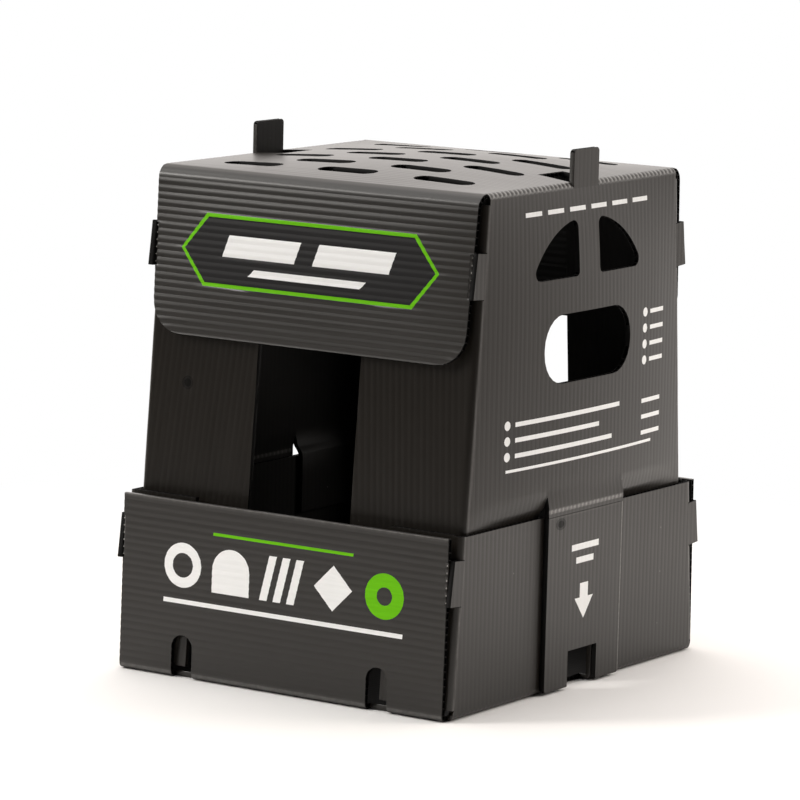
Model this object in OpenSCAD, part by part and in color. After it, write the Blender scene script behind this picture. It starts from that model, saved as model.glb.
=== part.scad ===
// Corrugated plastic packing box: an open tray and a lift-off top, each folded from one fluted sheet.
// Millimetres. X runs across the box, the front faces -Y and the box stands on Z = 0.

/* [Sheet] */
// Thickness of the fluted sheet
sheet_t = 3; // [2:0.5:4]
// Outer radius of a crease
crease_r = 3; // [1:0.5:5]
// Inward lean of the front and back walls, in degrees
wall_lean = 4.5; // [2:0.25:6]
// Distance between the webs inside the sheet
flute_pitch = 4; // [3:0.25:6]
// Depth of the sink marks that the webs leave on the outer face
sink_d = 0.3; // [0.1:0.05:0.5]

/* [Tray] */
// Length of the tray over its front and back panels
tray_l = 260.4; // [220:0.2:300]
// Height of the front and back panels
tray_end_h = 98.6; // [80:0.2:110]
// Height of the side walls
tray_side_h = 99; // [80:0.2:110]
// Height of the corner flaps behind the front and back panels
tray_flap_h = 99.6; // [82:0.2:115]
// Width of the corner flaps
tray_flap_w = 46; // [30:1:90]
// Gap between the corner flaps and the bottom
tray_flap_gap = 6; // [4:0.5:12]
// Inward lean of the front and back panels, in degrees
tray_end_lean = 1.4; // [0:0.1:2]
// Distance of the arched slots from the middle
arch_x = 65; // [40:1:85]
// Width of the arched slots
arch_w = 14; // [8:0.5:20]
// Height of the arched slots
arch_h = 24; // [15:0.5:40]
// Height of the lower edge of the tray's corner locks
tray_lock_z = 62; // [45:0.5:65]
// How far the tray's lock tabs stand out of the corner
tray_lock_out = 7.5; // [5:0.1:9]

/* [Top] */
// Width of the top over its side panels
top_w = 214.8; // [180:0.2:240]
// Height of the top panel over the floor
top_h = 280; // [260:1:320]
// Height of the lower edge of the top's walls, inside the tray
top_edge_z = 66; // [50:1:75]
// Width of the open window between the corner flaps
window_w = 68; // [40:1:100]
// Distance of the top's corner locks below the top panel
top_lock_drop = 31.5; // [20:0.5:50]
// How far the top's lock tabs stand out of the corner
top_lock_out = 6.6; // [5:0.1:9]
// Height of every corner lock
lock_h = 24.5; // [15:0.5:30]

/* [Front and back flaps] */
// Width of a flap at its fold
flap_w = 211; // [170:0.5:214]
// Width of a flap at its free edge
flap_low_w = 205.4; // [160:0.2:211]
// Height of a flap from its free edge to the top panel
flap_h = 92; // [80:1:110]
// How far a flap stands off the corner flaps behind it
flap_off = 2; // [1:0.25:4]
// Outer radius of the soft fold at the top
flap_fold_r = 8; // [4:0.5:12]
// Radius of the two free corners
flap_corner_r = 18.5; // [4:0.5:20]

/* [Holes] */
// Length of a vent in the top panel
vent_l = 37.5; // [20:0.5:48]
// Width of a vent in the top panel
vent_w = 12.5; // [6:0.5:20]
// Distance between vents in a row
vent_pitch_x = 63; // [56:0.5:66]
// Distance between the rows of vents
vent_pitch_y = 24.5; // [21:0.25:26]
// Length of a hand hole
hand_l = 89; // [70:0.5:110]
// Height of a hand hole
hand_h = 38; // [28:0.5:45]
// Distance of a hand hole below the top panel
hand_drop = 70.5; // [62:0.5:82]
// Width of the post between the two halves of a side vent
post_w = 21; // [12:0.5:30]
// Length of one half of a side vent, to where its edges meet
half_vent_l = 46.5; // [40:0.5:50]
// Height of a side vent, to where its edges meet
half_vent_h = 31.5; // [26:0.5:32]
// Distance of a side vent below the top panel
half_vent_drop = 19.5; // [16:0.5:28]
// How far the long edge of a side vent bows out
half_vent_bow = 7; // [4:0.5:10]

/* [Stacking and pull tabs] */
// Width of a stacking tab
stack_w = 25.5; // [15:0.5:50]
// How far a stacking tab stands above the top panel
stack_rise = 17.5; // [8:0.5:19]
// Width of a pull tab
pull_w = 77; // [45:0.5:100]
// Height of the free edge of a pull tab over the floor
pull_edge_z = 1.5; // [0.5:0.25:6]
// Height of the notch for a stacking tab
notch_h = 20; // [18:0.5:30]

/* [Hidden] */

// Clearances between sheets that slide or swing past each other
side_clear = 0.35;
lift_clear = 0.45;
pull_clear = 0.4;
seat_clear = 0.35;
hinge_clear = 0.3;
corner_clear = 0.2;
ear_clear = 0.25;
stack_clear = 2.25;

// Small sizes of the folds and locks
ear_hook = 1.3;
sink_w = 0.9;
ear_root = 14;
lock_slope = 1.5;
lock_slack = 0.5;
stack_r = 2;
notch_depth = 7;
vent_corner_r = 3;
half_vent_corner_r = 4.5;
hand_r = 18;
pull_r = 2;
arch_inset = 2;

// The bridge to a pull tab: its straight lip, how far it slopes down, and its bends above and below
link_lip = 0.6;
link_rise = 24;
link_r = 26;
link_low_r = 3;

// How far cuts run past the faces that they cut
overrun = 1;
// Straight pieces in a quarter bend, and in a tight one such as a crease
arc_steps = 5;
crease_steps = 4;
// Rows of vents each side of the middle row
vent_rows = 3;

sheet_color = "#2c2b29";

// Half widths of the top, the tray and the pull tabs
top_hw = top_w / 2;
tray_hw = top_hw + side_clear + sheet_t;
pull_in = tray_hw + pull_clear;
pull_out = pull_in + sheet_t;

// Leaning walls: their slope, their depth along Y and where they would meet the floor
lean_run = tan(wall_lean);
wall_depth = sheet_t / cos(wall_lean);
lap = sheet_t + crease_r;
tray_foot = tray_l / 2 - sheet_t - corner_clear;
top_foot = tray_foot - (tray_flap_h - top_edge_z) * lean_run - wall_depth - lift_clear;
flap_foot = top_foot + (flap_off + sheet_t) / cos(wall_lean);

// Heights of what hangs from the top panel
flap_edge_z = top_h - flap_h;
top_lock_z = top_h - top_lock_drop - lock_h;
hand_z = top_h - hand_drop - hand_h;
half_vent_z = top_h - half_vent_drop - half_vent_h;

// Half width of the notches that take a stacking tab
notch_hw = stack_w / 2 + stack_clear;

// Corner locks: outer face of the ears and how deep they reach
tray_ear_x = tray_hw - sheet_t - ear_clear;
top_ear_x = top_hw - sheet_t - ear_clear;
tray_lock_mid = tray_lock_z + lock_h / 2;
tray_ear_l = end_y(tray_lock_mid) - wall_y(tray_foot, tray_lock_mid) + wall_depth + ear_hook;
top_ear_l = flap_off + sheet_t + sheet_t + ear_hook;

// The bridge that carries a pull tab over the tray's side wall
bridge_z = tray_side_h + seat_clear;
bridge_top_z = bridge_z + link_rise;
pull_top_z = bridge_z - link_lip - hinge_clear;

// Outer faces of a leaning wall and of the tray's end panels at a height
function wall_y(foot, z) = foot - z * lean_run;
function end_y(z) = tray_l / 2 - z * tan(tray_end_lean);
// Distance up a leaning wall at a height
function up_wall(z) = z / cos(wall_lean);

// Plane geometry of bent sheets
function unit(v) = v / norm(v);
function left_of(d) = [-d[1], d[0]];
function turn(d1, d2) = atan2(d1[0] * d2[1] - d1[1] * d2[0], d1 * d2);
function spin(v, angle) = [v[0] * cos(angle) - v[1] * sin(angle), v[0] * sin(angle) + v[1] * cos(angle)];
function reversed(list) = [for (i = [len(list) - 1:-1:0]) list[i]];

// Points of an arc that rounds the corner b between a and c
function corner_arc(a, b, c, r) =
    let (
        d1 = unit(b - a),
        d2 = unit(c - b),
        bend = turn(d1, d2),
        start = b - d1 * r * tan(abs(bend) / 2),
        centre = start + left_of(d1) * sign(bend) * r,
        steps = r > lap ? arc_steps : crease_steps
    )
    r <= 0 ? [b] : [for (i = [0:steps]) centre + spin(start - centre, bend * i / steps)];

// Points of an arc about a centre, between two angles
function arc(centre, r, from, to) =
    [for (i = [0:arc_steps]) centre + spin([r, 0], from + (to - from) * i / arc_steps)];

// Closed outline with a radius at each corner
function rounded(points, radii) =
    let (n = len(points))
    [for (i = [0:n - 1])
        each corner_arc(points[(i + n - 1) % n], points[i], points[(i + 1) % n], radii[i])
    ];

// Open path with one radius at all its bends
function bent(path, r) =
    let (n = len(path))
    concat(
        [path[0]],
        [for (i = [1:n - 2]) each corner_arc(path[i - 1], path[i], path[i + 1], r)],
        [path[n - 1]]
    );

// The path of the other face of a sheet, to the left of the first
function other_face(path, t) =
    let (n = len(path))
    [for (i = [0:n - 1])
        let (
            before = unit(path[max(i, 1)] - path[max(i, 1) - 1]),
            after = unit(path[min(i, n - 2) + 1] - path[min(i, n - 2)]),
            n1 = left_of(before),
            n2 = left_of(after)
        )
        path[i] + (n1 + n2) * t / (1 + n1 * n2)
    ];

// Section of a bent sheet from the path of its outer face, with the inner face to the left
function sheet_section(path, r) = between_faces(bent(path, r), path, r);

// The same with the sink marks of flutes that run square to the section
function fluted_section(path, r) = between_faces(fluted(bent(path, r)), path, r);

function between_faces(outer, path, r) =
    concat(outer, reversed(bent(other_face(path, sheet_t), max(r - sheet_t, 0))));

// A path with sink marks on its long runs, apart from level ones on the floor or the top panel
function fluted(path) =
    [for (i = [0:len(path) - 1])
        let (next = path[min(i + 1, len(path) - 1)])
        each concat([path[i]], is_wall(path[i], next) ? sinks(path[i], next) : [])
    ];
function is_wall(p, q) = norm(q - p) > flute_pitch + flute_pitch && abs(q[1] - p[1]) > abs(q[0] - p[0]);
function sinks(p, q) =
    let (
        count = floor((norm(q - p) - flute_pitch) / flute_pitch),
        first = (norm(q - p) - (count - 1) * flute_pitch) / 2,
        d = unit(q - p)
    )
    [for (i = [0:count - 1])
        let (mid = p + d * (first + i * flute_pitch))
        each [mid - d * sink_w / 2, mid + left_of(d) * sink_d, mid + d * sink_w / 2]
    ];

// Copies at both sides, both ends and all four corners
module both_sides() {
    children();
    mirror([1, 0, 0]) children();
}
module both_ends() {
    children();
    mirror([0, 1, 0]) children();
}
module four_corners() both_sides() both_ends() children();

// Sections drawn across the box and along it, and outlines seen from the front and the side
module along_y(length) rotate([90, 0, 0]) linear_extrude(length, center = true) children();
module along_x(width) rotate([90, 0, 90]) linear_extrude(width, center = true) children();

// Frame of a wall that leans in from the floor at the front: Y runs inwards and Z up the wall
module leaning(foot, lean) translate([0, -foot, 0]) rotate([-lean, 0, 0]) children();

// Part of a bent sheet between two heights
module upright(low, high) translate([0, 0, low]) linear_extrude(high - low) children();

// Side outline between two leaning walls
module between_walls(foot, low, high)
    polygon([
        [-wall_y(foot, low) + wall_depth, low],
        [wall_y(foot, low) - wall_depth, low],
        [wall_y(foot, high) - wall_depth, high],
        [-wall_y(foot, high) + wall_depth, high]
    ]);

// Sink marks of upright flutes in the outer face of a side wall, which lies at X = 0
module upright_sinks(half_l, low, high)
    upright(low, high)
    for (i = [-floor(half_l / flute_pitch):floor(half_l / flute_pitch)])
        translate([0, i * flute_pitch])
        polygon([
            [sink_d, -sink_w / 2],
            [0, -sink_w / 2],
            [-sink_d, 0],
            [0, sink_w / 2],
            [sink_d, sink_w / 2]
        ]);

// The same on both side walls, between the folds of the leaning walls
module side_sinks(half_w, foot, low, high)
    intersection() {
        both_sides() translate([half_w, 0, 0]) upright_sinks(foot, low, high);
        along_x(half_w + half_w + overrun + overrun) between_walls(foot - lap, low, high);
    }

// Corner flap folded in from a side wall, with the slot that takes an ear
module corner_flap(half_w, end_x, low, fold_top, flap_top, lock_z)
    difference() {
        union() {
            upright(up_wall(low), up_wall(fold_top))
                polygon(sheet_section([[end_x, 0], [half_w, 0], [half_w, lap]], crease_r));
            upright(up_wall(low), up_wall(flap_top))
                polygon(sheet_section([[end_x, 0], [half_w - lap, 0]], crease_r));
        }
        upright(up_wall(lock_z) - lock_slack, up_wall(lock_z) + lock_h + lock_slack)
            translate([half_w - sheet_t - sheet_t - ear_clear - ear_clear, -overrun])
            square([sheet_t + ear_clear + ear_clear, lap + overrun]);
    }

// Lock tab left standing in the plane of a side wall
module lock_tab(half_w, out, lock_z)
    translate([half_w - sheet_t, 0, up_wall(lock_z)])
    rotate([90, 0, 90])
    linear_extrude(sheet_t)
    polygon([[lap, 0], [-out, 0], [-out + lock_slope, lock_h], [lap, lock_h]]);

// Ear of an end panel or flap, bent back to pass inside a lock tab
module ear(ear_x, ear_l, low)
    upright(low + lock_slack, low + lock_h - lock_slack)
    polygon(sheet_section([[ear_x - ear_root, 0], [ear_x, 0], [ear_x, ear_l]], crease_r));

// Tray: bottom with the front and back panels
module tray_ends()
    along_x(tray_ear_x + tray_ear_x)
    polygon(fluted_section([
        [-end_y(tray_end_h), tray_end_h],
        [-end_y(0), 0],
        [end_y(0), 0],
        [end_y(tray_end_h), tray_end_h]
    ], crease_r));

// Tray: bottom with the side walls
module tray_sides()
    intersection() {
        along_y(tray_l)
            polygon(sheet_section([
                [-tray_hw, tray_side_h],
                [-tray_hw, 0],
                [tray_hw, 0],
                [tray_hw, tray_side_h]
            ], crease_r));
        along_x(tray_hw + tray_hw + overrun) between_walls(tray_foot, -overrun, tray_side_h + overrun);
    }

// Tray: one corner with its flap, lock tab and ear
module tray_corner() {
    leaning(tray_foot, wall_lean) {
        corner_flap(tray_hw, tray_hw - tray_flap_w, tray_flap_gap, tray_side_h, tray_flap_h, tray_lock_z);
        lock_tab(tray_hw, tray_lock_out, tray_lock_z);
    }
    leaning(tray_l / 2, tray_end_lean) ear(tray_ear_x, tray_ear_l, tray_lock_z);
}

// Arched slot at the foot of the front or back panel
module arch() {
    reach = sheet_t + arch_inset;
    half = arch_w / 2;
    translate([0, -end_y(0) + reach, 0])
        rotate([90, 0, 0])
        linear_extrude(reach + overrun)
        polygon(rounded([
            [-half, -overrun],
            [half, -overrun],
            [half, arch_h],
            [-half, arch_h]
        ], [0, 0, half, half]));
}

// Notch in the foot of a side wall where the stacking tab of a box below comes up
module stacking_notch()
    translate([tray_hw - notch_depth, -notch_hw, -overrun])
    cube([notch_depth + overrun, notch_hw + notch_hw, notch_h + stack_clear + overrun]);

module tray()
    color(sheet_color)
    difference() {
        union() {
            tray_ends();
            tray_sides();
            four_corners() tray_corner();
        }
        both_ends() both_sides() translate([arch_x, 0, 0]) arch();
        both_sides() stacking_notch();
        side_sinks(tray_hw, tray_foot, lap, tray_side_h + overrun);
    }

// Top: the top panel with its side panels
module top_sides()
    intersection() {
        along_y(tray_l)
            polygon(sheet_section([
                [top_hw, top_edge_z],
                [top_hw, top_h],
                [-top_hw, top_h],
                [-top_hw, top_edge_z]
            ], crease_r));
        along_x(top_w + overrun) between_walls(top_foot, top_edge_z - overrun, top_h + overrun);
    }

// Top: the top panel with its front and back flaps
module top_flaps() {
    flap_hw = flap_w / 2;
    low_hw = flap_low_w / 2;
    intersection() {
        along_x(flap_w)
            polygon(fluted_section([
                [wall_y(flap_foot, flap_edge_z), flap_edge_z],
                [wall_y(flap_foot, top_h), top_h],
                [-wall_y(flap_foot, top_h), top_h],
                [-wall_y(flap_foot, flap_edge_z), flap_edge_z]
            ], flap_fold_r));
        along_y(tray_l)
            polygon(rounded([
                [-low_hw, flap_edge_z - overrun],
                [low_hw, flap_edge_z - overrun],
                [flap_hw, top_h],
                [flap_hw, top_h + overrun],
                [-flap_hw, top_h + overrun],
                [-flap_hw, top_h]
            ], [flap_corner_r, flap_corner_r, 0, 0, 0, 0]));
    }
}

// Top: one corner with its flap, lock tab and ear
module top_corner()
    leaning(top_foot, wall_lean) {
        corner_flap(
            top_hw, window_w / 2, top_edge_z,
            top_h - lap, top_h - sheet_t - seat_clear, top_lock_z
        );
        lock_tab(top_hw, top_lock_out, top_lock_z);
        translate([0, -flap_off - sheet_t, 0]) ear(top_ear_x, top_ear_l, up_wall(top_lock_z));
    }

// Stacking tab that stands up in the plane of the side panel
module stacking_tab()
    translate([top_hw - sheet_t, 0, 0])
    rotate([90, 0, 90])
    linear_extrude(sheet_t)
    polygon(rounded([
        [-stack_w / 2, top_h - lap],
        [stack_w / 2, top_h - lap],
        [stack_w / 2, top_h + stack_rise],
        [-stack_w / 2, top_h + stack_rise]
    ], [0, 0, stack_r, stack_r]));

// Hole that the stacking tab leaves in the top panel
module stacking_hole()
    translate([top_hw - sheet_t - stack_rise - sheet_t, -stack_w / 2, top_h - sheet_t - overrun])
    cube([stack_rise + sheet_t, stack_w, sheet_t + overrun + overrun]);

// Long vent with round ends
module vent() {
    end_r = vent_w / 2;
    polygon(rounded([
        [-vent_l / 2, -end_r],
        [vent_l / 2, -end_r],
        [vent_l / 2, end_r],
        [-vent_l / 2, end_r]
    ], [end_r, end_r, end_r, end_r]));
}

// Row of vents: three in odd rows, two between them in even rows
module vent_row(row) {
    first = row % 2 == 0 ? vent_pitch_x / 2 : vent_pitch_x;
    for (x = [-first:vent_pitch_x:first]) translate([x, row * vent_pitch_y]) vent();
}

// One half of the split vent in a side panel: straight at its post and foot, bowed on its long edge
module half_vent() {
    low = post_w / 2;
    r = half_vent_corner_r;
    nose = [low + half_vent_l, half_vent_z];
    peak = [low, half_vent_z + half_vent_h];
    half = norm(peak - nose) / 2;
    bow_r = (half * half + half_vent_bow * half_vent_bow) / (half_vent_bow + half_vent_bow);
    hub = (nose + peak) / 2 + left_of(unit(peak - nose)) * (bow_r - half_vent_bow);
    nose_hub = [hub[0] + sqrt(pow(bow_r - r, 2) - pow(half_vent_z + r - hub[1], 2)), half_vent_z + r];
    peak_hub = [low + r, hub[1] + sqrt(pow(bow_r - r, 2) - pow(low + r - hub[0], 2))];
    nose_angle = atan2(nose_hub[1] - hub[1], nose_hub[0] - hub[0]);
    peak_angle = atan2(peak_hub[1] - hub[1], peak_hub[0] - hub[0]);
    bow = arc(hub, bow_r, nose_angle, peak_angle);
    polygon(concat(
        arc(nose_hub, r, -90, nose_angle),
        [for (i = [1:arc_steps - 1]) bow[i]],
        arc(peak_hub, r, peak_angle, 180),
        arc([low + vent_corner_r, half_vent_z + vent_corner_r], vent_corner_r, 180, 270)
    ));
}

// Holes through both side panels: the split vents, the hand hole and the gap that the pull tab leaves
module side_holes()
    along_x(top_w + overrun) {
        half_vent();
        mirror([1, 0]) half_vent();
        polygon(rounded([
            [-hand_l / 2, hand_z],
            [hand_l / 2, hand_z],
            [hand_l / 2, hand_z + hand_h],
            [-hand_l / 2, hand_z + hand_h]
        ], [hand_r, hand_r, hand_r, hand_r]));
        translate([-pull_w / 2 - pull_clear, top_edge_z - overrun])
            square([pull_w + pull_clear + pull_clear, bridge_top_z - top_edge_z + overrun]);
    }

// Bridge of sheet from the side panel out over the tray's side wall, up to the crease of the pull tab
module bridge() {
    under = [
        [pull_in, bridge_z - link_lip],
        [pull_in, bridge_z],
        [top_hw - sheet_t, bridge_top_z],
        [top_hw - sheet_t, bridge_top_z + lap]
    ];
    face = concat(
        [under[0]],
        corner_arc(under[0], under[1], under[2], link_low_r),
        corner_arc(under[1], under[2], under[3], link_r),
        [under[3]]
    );
    along_y(pull_w) polygon(concat(face, reversed(other_face(face, -sheet_t))));
}

module box_top()
    color(sheet_color) {
        difference() {
            union() {
                top_sides();
                top_flaps();
                four_corners() top_corner();
                both_sides() stacking_tab();
            }
            side_holes();
            side_sinks(top_hw, top_foot, top_edge_z - overrun, top_h - lap);
            both_sides() stacking_hole();
            translate([0, 0, top_h - sheet_t - overrun])
                linear_extrude(sheet_t + overrun + overrun)
                for (row = [-vent_rows:vent_rows]) vent_row(row);
        }
        both_sides() bridge();
    }

// Pull tab that hangs outside the tray's side wall, notched for the stacking tab of a box below
module pull_tab()
    color(sheet_color)
    difference() {
        translate([pull_in, 0, 0])
            rotate([90, 0, 90])
            linear_extrude(sheet_t)
            polygon(rounded([
                [-pull_w / 2, pull_edge_z],
                [-notch_hw, pull_edge_z],
                [-notch_hw, pull_edge_z + notch_h],
                [notch_hw, pull_edge_z + notch_h],
                [notch_hw, pull_edge_z],
                [pull_w / 2, pull_edge_z],
                [pull_w / 2, pull_top_z],
                [-pull_w / 2, pull_top_z]
            ], [pull_r, 0, 0, 0, 0, pull_r, 0, 0]));
        translate([pull_out, 0, 0])
            upright_sinks(pull_w / 2 - pull_r - sink_w, pull_edge_z - overrun, pull_top_z + overrun);
    }

module right_pull_tab() pull_tab();
module left_pull_tab() mirror([1, 0, 0]) pull_tab();

tray();
box_top();
right_pull_tab();
left_pull_tab();
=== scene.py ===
"""Looks of a corrugated plastic packing box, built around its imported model.

Each fluted sheet is drawn flat as its cut blank, meshed along its flutes, and folded into place.
Sizes are in millimetres until a mesh is made. X runs across the box and the front faces -Y.
"""

import logging
import math
from dataclasses import dataclass, field
from enum import IntEnum
from typing import Any, Callable, Optional, Sequence

import bpy
import numpy as np
from bpy.types import ID, Material, Node, NodeSocket, NodeTree, Object, World
from mathutils import Matrix, Vector
from mathutils.geometry import delaunay_2d_cdt


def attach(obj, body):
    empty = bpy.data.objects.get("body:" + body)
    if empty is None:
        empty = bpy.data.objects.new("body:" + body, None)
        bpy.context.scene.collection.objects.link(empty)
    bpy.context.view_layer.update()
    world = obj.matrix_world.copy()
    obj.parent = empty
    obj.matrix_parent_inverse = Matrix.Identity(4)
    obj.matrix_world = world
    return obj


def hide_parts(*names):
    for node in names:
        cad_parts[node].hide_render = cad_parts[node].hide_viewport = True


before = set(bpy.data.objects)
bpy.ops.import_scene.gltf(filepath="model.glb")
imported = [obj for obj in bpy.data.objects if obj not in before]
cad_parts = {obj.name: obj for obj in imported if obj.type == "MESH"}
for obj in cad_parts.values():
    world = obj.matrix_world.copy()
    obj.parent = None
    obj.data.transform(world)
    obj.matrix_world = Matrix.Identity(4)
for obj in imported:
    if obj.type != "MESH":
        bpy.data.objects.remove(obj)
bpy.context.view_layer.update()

log = logging.getLogger("packing_box")
MM = 0.001
# Names of the sheets' flat map and of their pale marks, which are stress marks and painted highlights, and
# which the materials read
FLAT_UV, STRESS_AND_LIGHT_MARK = "flat", "stress_and_painted_light"
# Edges that turn more than this are sharp
SHARP_ANGLE = math.radians(35)
# Left off the radius of a round end, so that its two arcs don't share a point
END_GAP = 0.01

Array = np.ndarray
Fold = Callable[[Array, Array], Array]
Field = Callable[[Array], Array]


class Finish(IntEnum):
    """Material slots of every folded sheet."""

    SHEET = 0
    # Cut edges and their open flutes, darker than the sheet: painted shade of the open flutes
    CUT_EDGE = 1
    WHITE_INK = 2
    GREEN_INK = 3
    BLACK_INK = 4
    # Inner faces, darker and duller than the sheet: painted shade of the box's inside
    INNER = 5
    RUBBED_RIM = 6
    RUBBED = 7


Print = tuple[Finish, Array]


@dataclass(frozen=True)
class FlutedSheet:
    """Sizes of the twin-wall sheet that the box is cut from.

    Attributes:
        thickness: Thickness over both skins.
        pitch: Distance between the webs.
        web: Thickness of a web.
        skin: Thickness of a skin.
        pocket: How far the open flutes reach in at a cut edge.
        chamfer: How far the middle of a cut edge stands past the skins.
        shoulder: Distance from the middle of a web at which the skin is level again.
        inner_sink: Most that the inner skin follows the sinks of the outer one.
        cross_step: Length of the mesh's faces along the flutes.
        row_gap: Least distance of a mesh line from the edge of the blank.
    """

    thickness: float = 3.0
    pitch: float = 4.0
    web: float = 0.4
    skin: float = 0.45
    pocket: float = 3.0
    chamfer: float = 0.22
    shoulder: float = 1.3
    inner_sink: float = 0.3
    cross_step: float = 14.0
    row_gap: float = 0.05

    def rows(self, low: float, high: float) -> Array:
        """Gives the places across the flutes that a mesh needs lines at.

        Args:
            low: Lowest place.
            high: Highest place.

        Returns:
            Sorted places between the two limits.
        """
        half_web = self.web / 2
        offsets = np.array([-half_web, half_web, self.shoulder, self.pitch - self.shoulder])
        first, last = math.floor(low / self.pitch) - 1, math.ceil(high / self.pitch) + 1
        rows = (np.arange(first, last + 1)[:, None] * self.pitch + offsets).ravel()
        return np.sort(rows[(rows > low + self.row_gap) & (rows < high - self.row_gap)])

    def from_web(self, across: Array) -> Array:
        """Distance from the middle of the nearest web."""
        past = np.mod(across, self.pitch)
        return np.minimum(past, self.pitch - past)

    def crown(self, across: Array) -> Array:
        """Sink of the skin at a place across the flutes: 0 on a cell's crown and 1 at a web."""
        half_web = self.web / 2
        return np.clip((self.shoulder - self.from_web(across)) / (self.shoulder - half_web), 0, 1)

    def cell(self, across: Array) -> Array:
        """1 in the open middle of a cell and 0 at its webs."""
        half_web = self.web / 2
        return np.clip((self.from_web(across) - half_web) / (self.pitch / 4 - half_web), 0, 1)


SHEET = FlutedSheet()


@dataclass
class BentPath:
    """Path of a sheet's outer face in a plane, straight between rounded bends.

    Attributes:
        corners: Sharp corners of the path, from its start to its end.
        radii: Radius at each inner corner.
        outer: 1 where the outer face looks to the left of the path, -1 to the right.
    """

    corners: Sequence[tuple[float, float]]
    radii: Sequence[float]
    outer: float = 1.0

    def __post_init__(self) -> None:
        """Works out the straight and bent parts."""
        pts = [np.array(c, float) for c in self.corners]
        self.parts: list[tuple[float, Array, Array, float]] = []
        self.arc_ends: list[float] = []
        self.tangents: list[float] = []
        self.bends: list[tuple[float, float]] = []
        s, start = 0.0, pts[0]
        for i, radius in enumerate(self.radii, start=1):
            d1 = (pts[i] - pts[i - 1]) / np.linalg.norm(pts[i] - pts[i - 1])
            d2 = (pts[i + 1] - pts[i]) / np.linalg.norm(pts[i + 1] - pts[i])
            turn = math.atan2(d1[0] * d2[1] - d1[1] * d2[0], float(d1 @ d2))
            tangent = radius * math.tan(abs(turn) / 2)
            bend_start = pts[i] - d1 * tangent
            self.parts.append((s, start, d1, 0.0))
            s += float(np.linalg.norm(bend_start - start))
            self.parts.append((s, bend_start, d1, math.copysign(1 / radius, turn)))
            self.bends.append((s, s + radius * abs(turn)))
            s += radius * abs(turn)
            start = pts[i] + d2 * tangent
            self.arc_ends.append(s)
            self.tangents.append(tangent)
        d_last = (pts[-1] - pts[-2]) / np.linalg.norm(pts[-1] - pts[-2])
        self.parts.append((s, start, d_last, 0.0))
        self.length = s + float(np.linalg.norm(pts[-1] - start))

    def past(self, corner: int, distance: float) -> float:
        """Place on the path at a distance past one of its sharp corners."""
        return self.arc_ends[corner - 1] + distance - self.tangents[corner - 1]

    def at(self, s: Array) -> tuple[Array, Array]:
        """Finds points of the outer face.

        Args:
            s: Distances along the path.

        Returns:
            Points and outward normals in the path's plane.
        """
        points, normals = np.empty((len(s), 2)), np.empty((len(s), 2))
        starts = [part[0] for part in self.parts] + [math.inf]
        for i, (s0, p0, d0, bend) in enumerate(self.parts):
            low = -math.inf if i == 0 else s0
            here = (s >= low) & (s < starts[i + 1])
            run = s[here] - s0
            left = np.array([-d0[1], d0[0]])
            if bend:
                angle = run * bend
                ahead, aside = np.sin(angle) / bend, (1 - np.cos(angle)) / bend
            else:
                angle, ahead, aside = np.zeros_like(run), run, np.zeros_like(run)
            points[here] = p0 + ahead[:, None] * d0 + aside[:, None] * left
            normals[here] = (np.cos(angle)[:, None] * left - np.sin(angle)[:, None] * d0) * self.outer
        return points, normals


def rounded(points: Sequence[tuple[float, float]], radii: Sequence[float], steps: int = 6) -> Array:
    """Rounds the corners of a closed outline.

    Args:
        points: Sharp corners in order.
        radii: Radius of each corner, 0 for a sharp one.
        steps: Straight pieces in each rounded corner.

    Returns:
        The outline as an array of points.
    """
    n, out = len(points), []
    for i, radius in enumerate(radii):
        a, b, c = (np.array(points[k % n], float) for k in (i - 1, i, i + 1))
        if radius <= 0:
            out.append(b)
            continue
        d1, d2 = (b - a) / np.linalg.norm(b - a), (c - b) / np.linalg.norm(c - b)
        turn = math.atan2(d1[0] * d2[1] - d1[1] * d2[0], float(d1 @ d2))
        start = b - d1 * radius * math.tan(abs(turn) / 2)
        side = np.array([-d1[1], d1[0]]) * math.copysign(1, turn)
        for k in range(steps + 1):
            angle = abs(turn) * k / steps
            out.append(start + d1 * radius * math.sin(angle) + side * radius * (1 - math.cos(angle)))
    return np.array(out)


def box_loop(x0: float, x1: float, y0: float, y1: float, radius: float = 0.0) -> Array:
    """Rectangle between limits, with rounded corners if a radius is given."""
    return rounded([(x0, y0), (x1, y0), (x1, y1), (x0, y1)], [radius] * 4)


def disc_loop(x: float, y: float, radius: float, steps: int = 24) -> Array:
    """Circle as a closed outline."""
    turn = np.arange(steps) / steps * math.tau
    return np.stack([x + radius * np.cos(turn), y + radius * np.sin(turn)], 1)


def inside(loop: Array, points: Array) -> Array:
    """Tells which points lie inside a closed outline.

    Args:
        loop: The outline.
        points: Points to test.

    Returns:
        A true or false value for each point.
    """
    hit = np.zeros(len(points), bool)
    near = np.all((points >= loop.min(0)) & (points <= loop.max(0)), axis=1)
    px, py = points[near, 0], points[near, 1]
    odd = np.zeros(len(px), bool)
    for (x0, y0), (x1, y1) in zip(loop, np.roll(loop, -1, axis=0)):
        if y0 != y1:
            odd ^= ((y0 > py) != (y1 > py)) & (px < (x1 - x0) * (py - y0) / (y1 - y0) + x0)
    hit[near] = odd
    return hit


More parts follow.
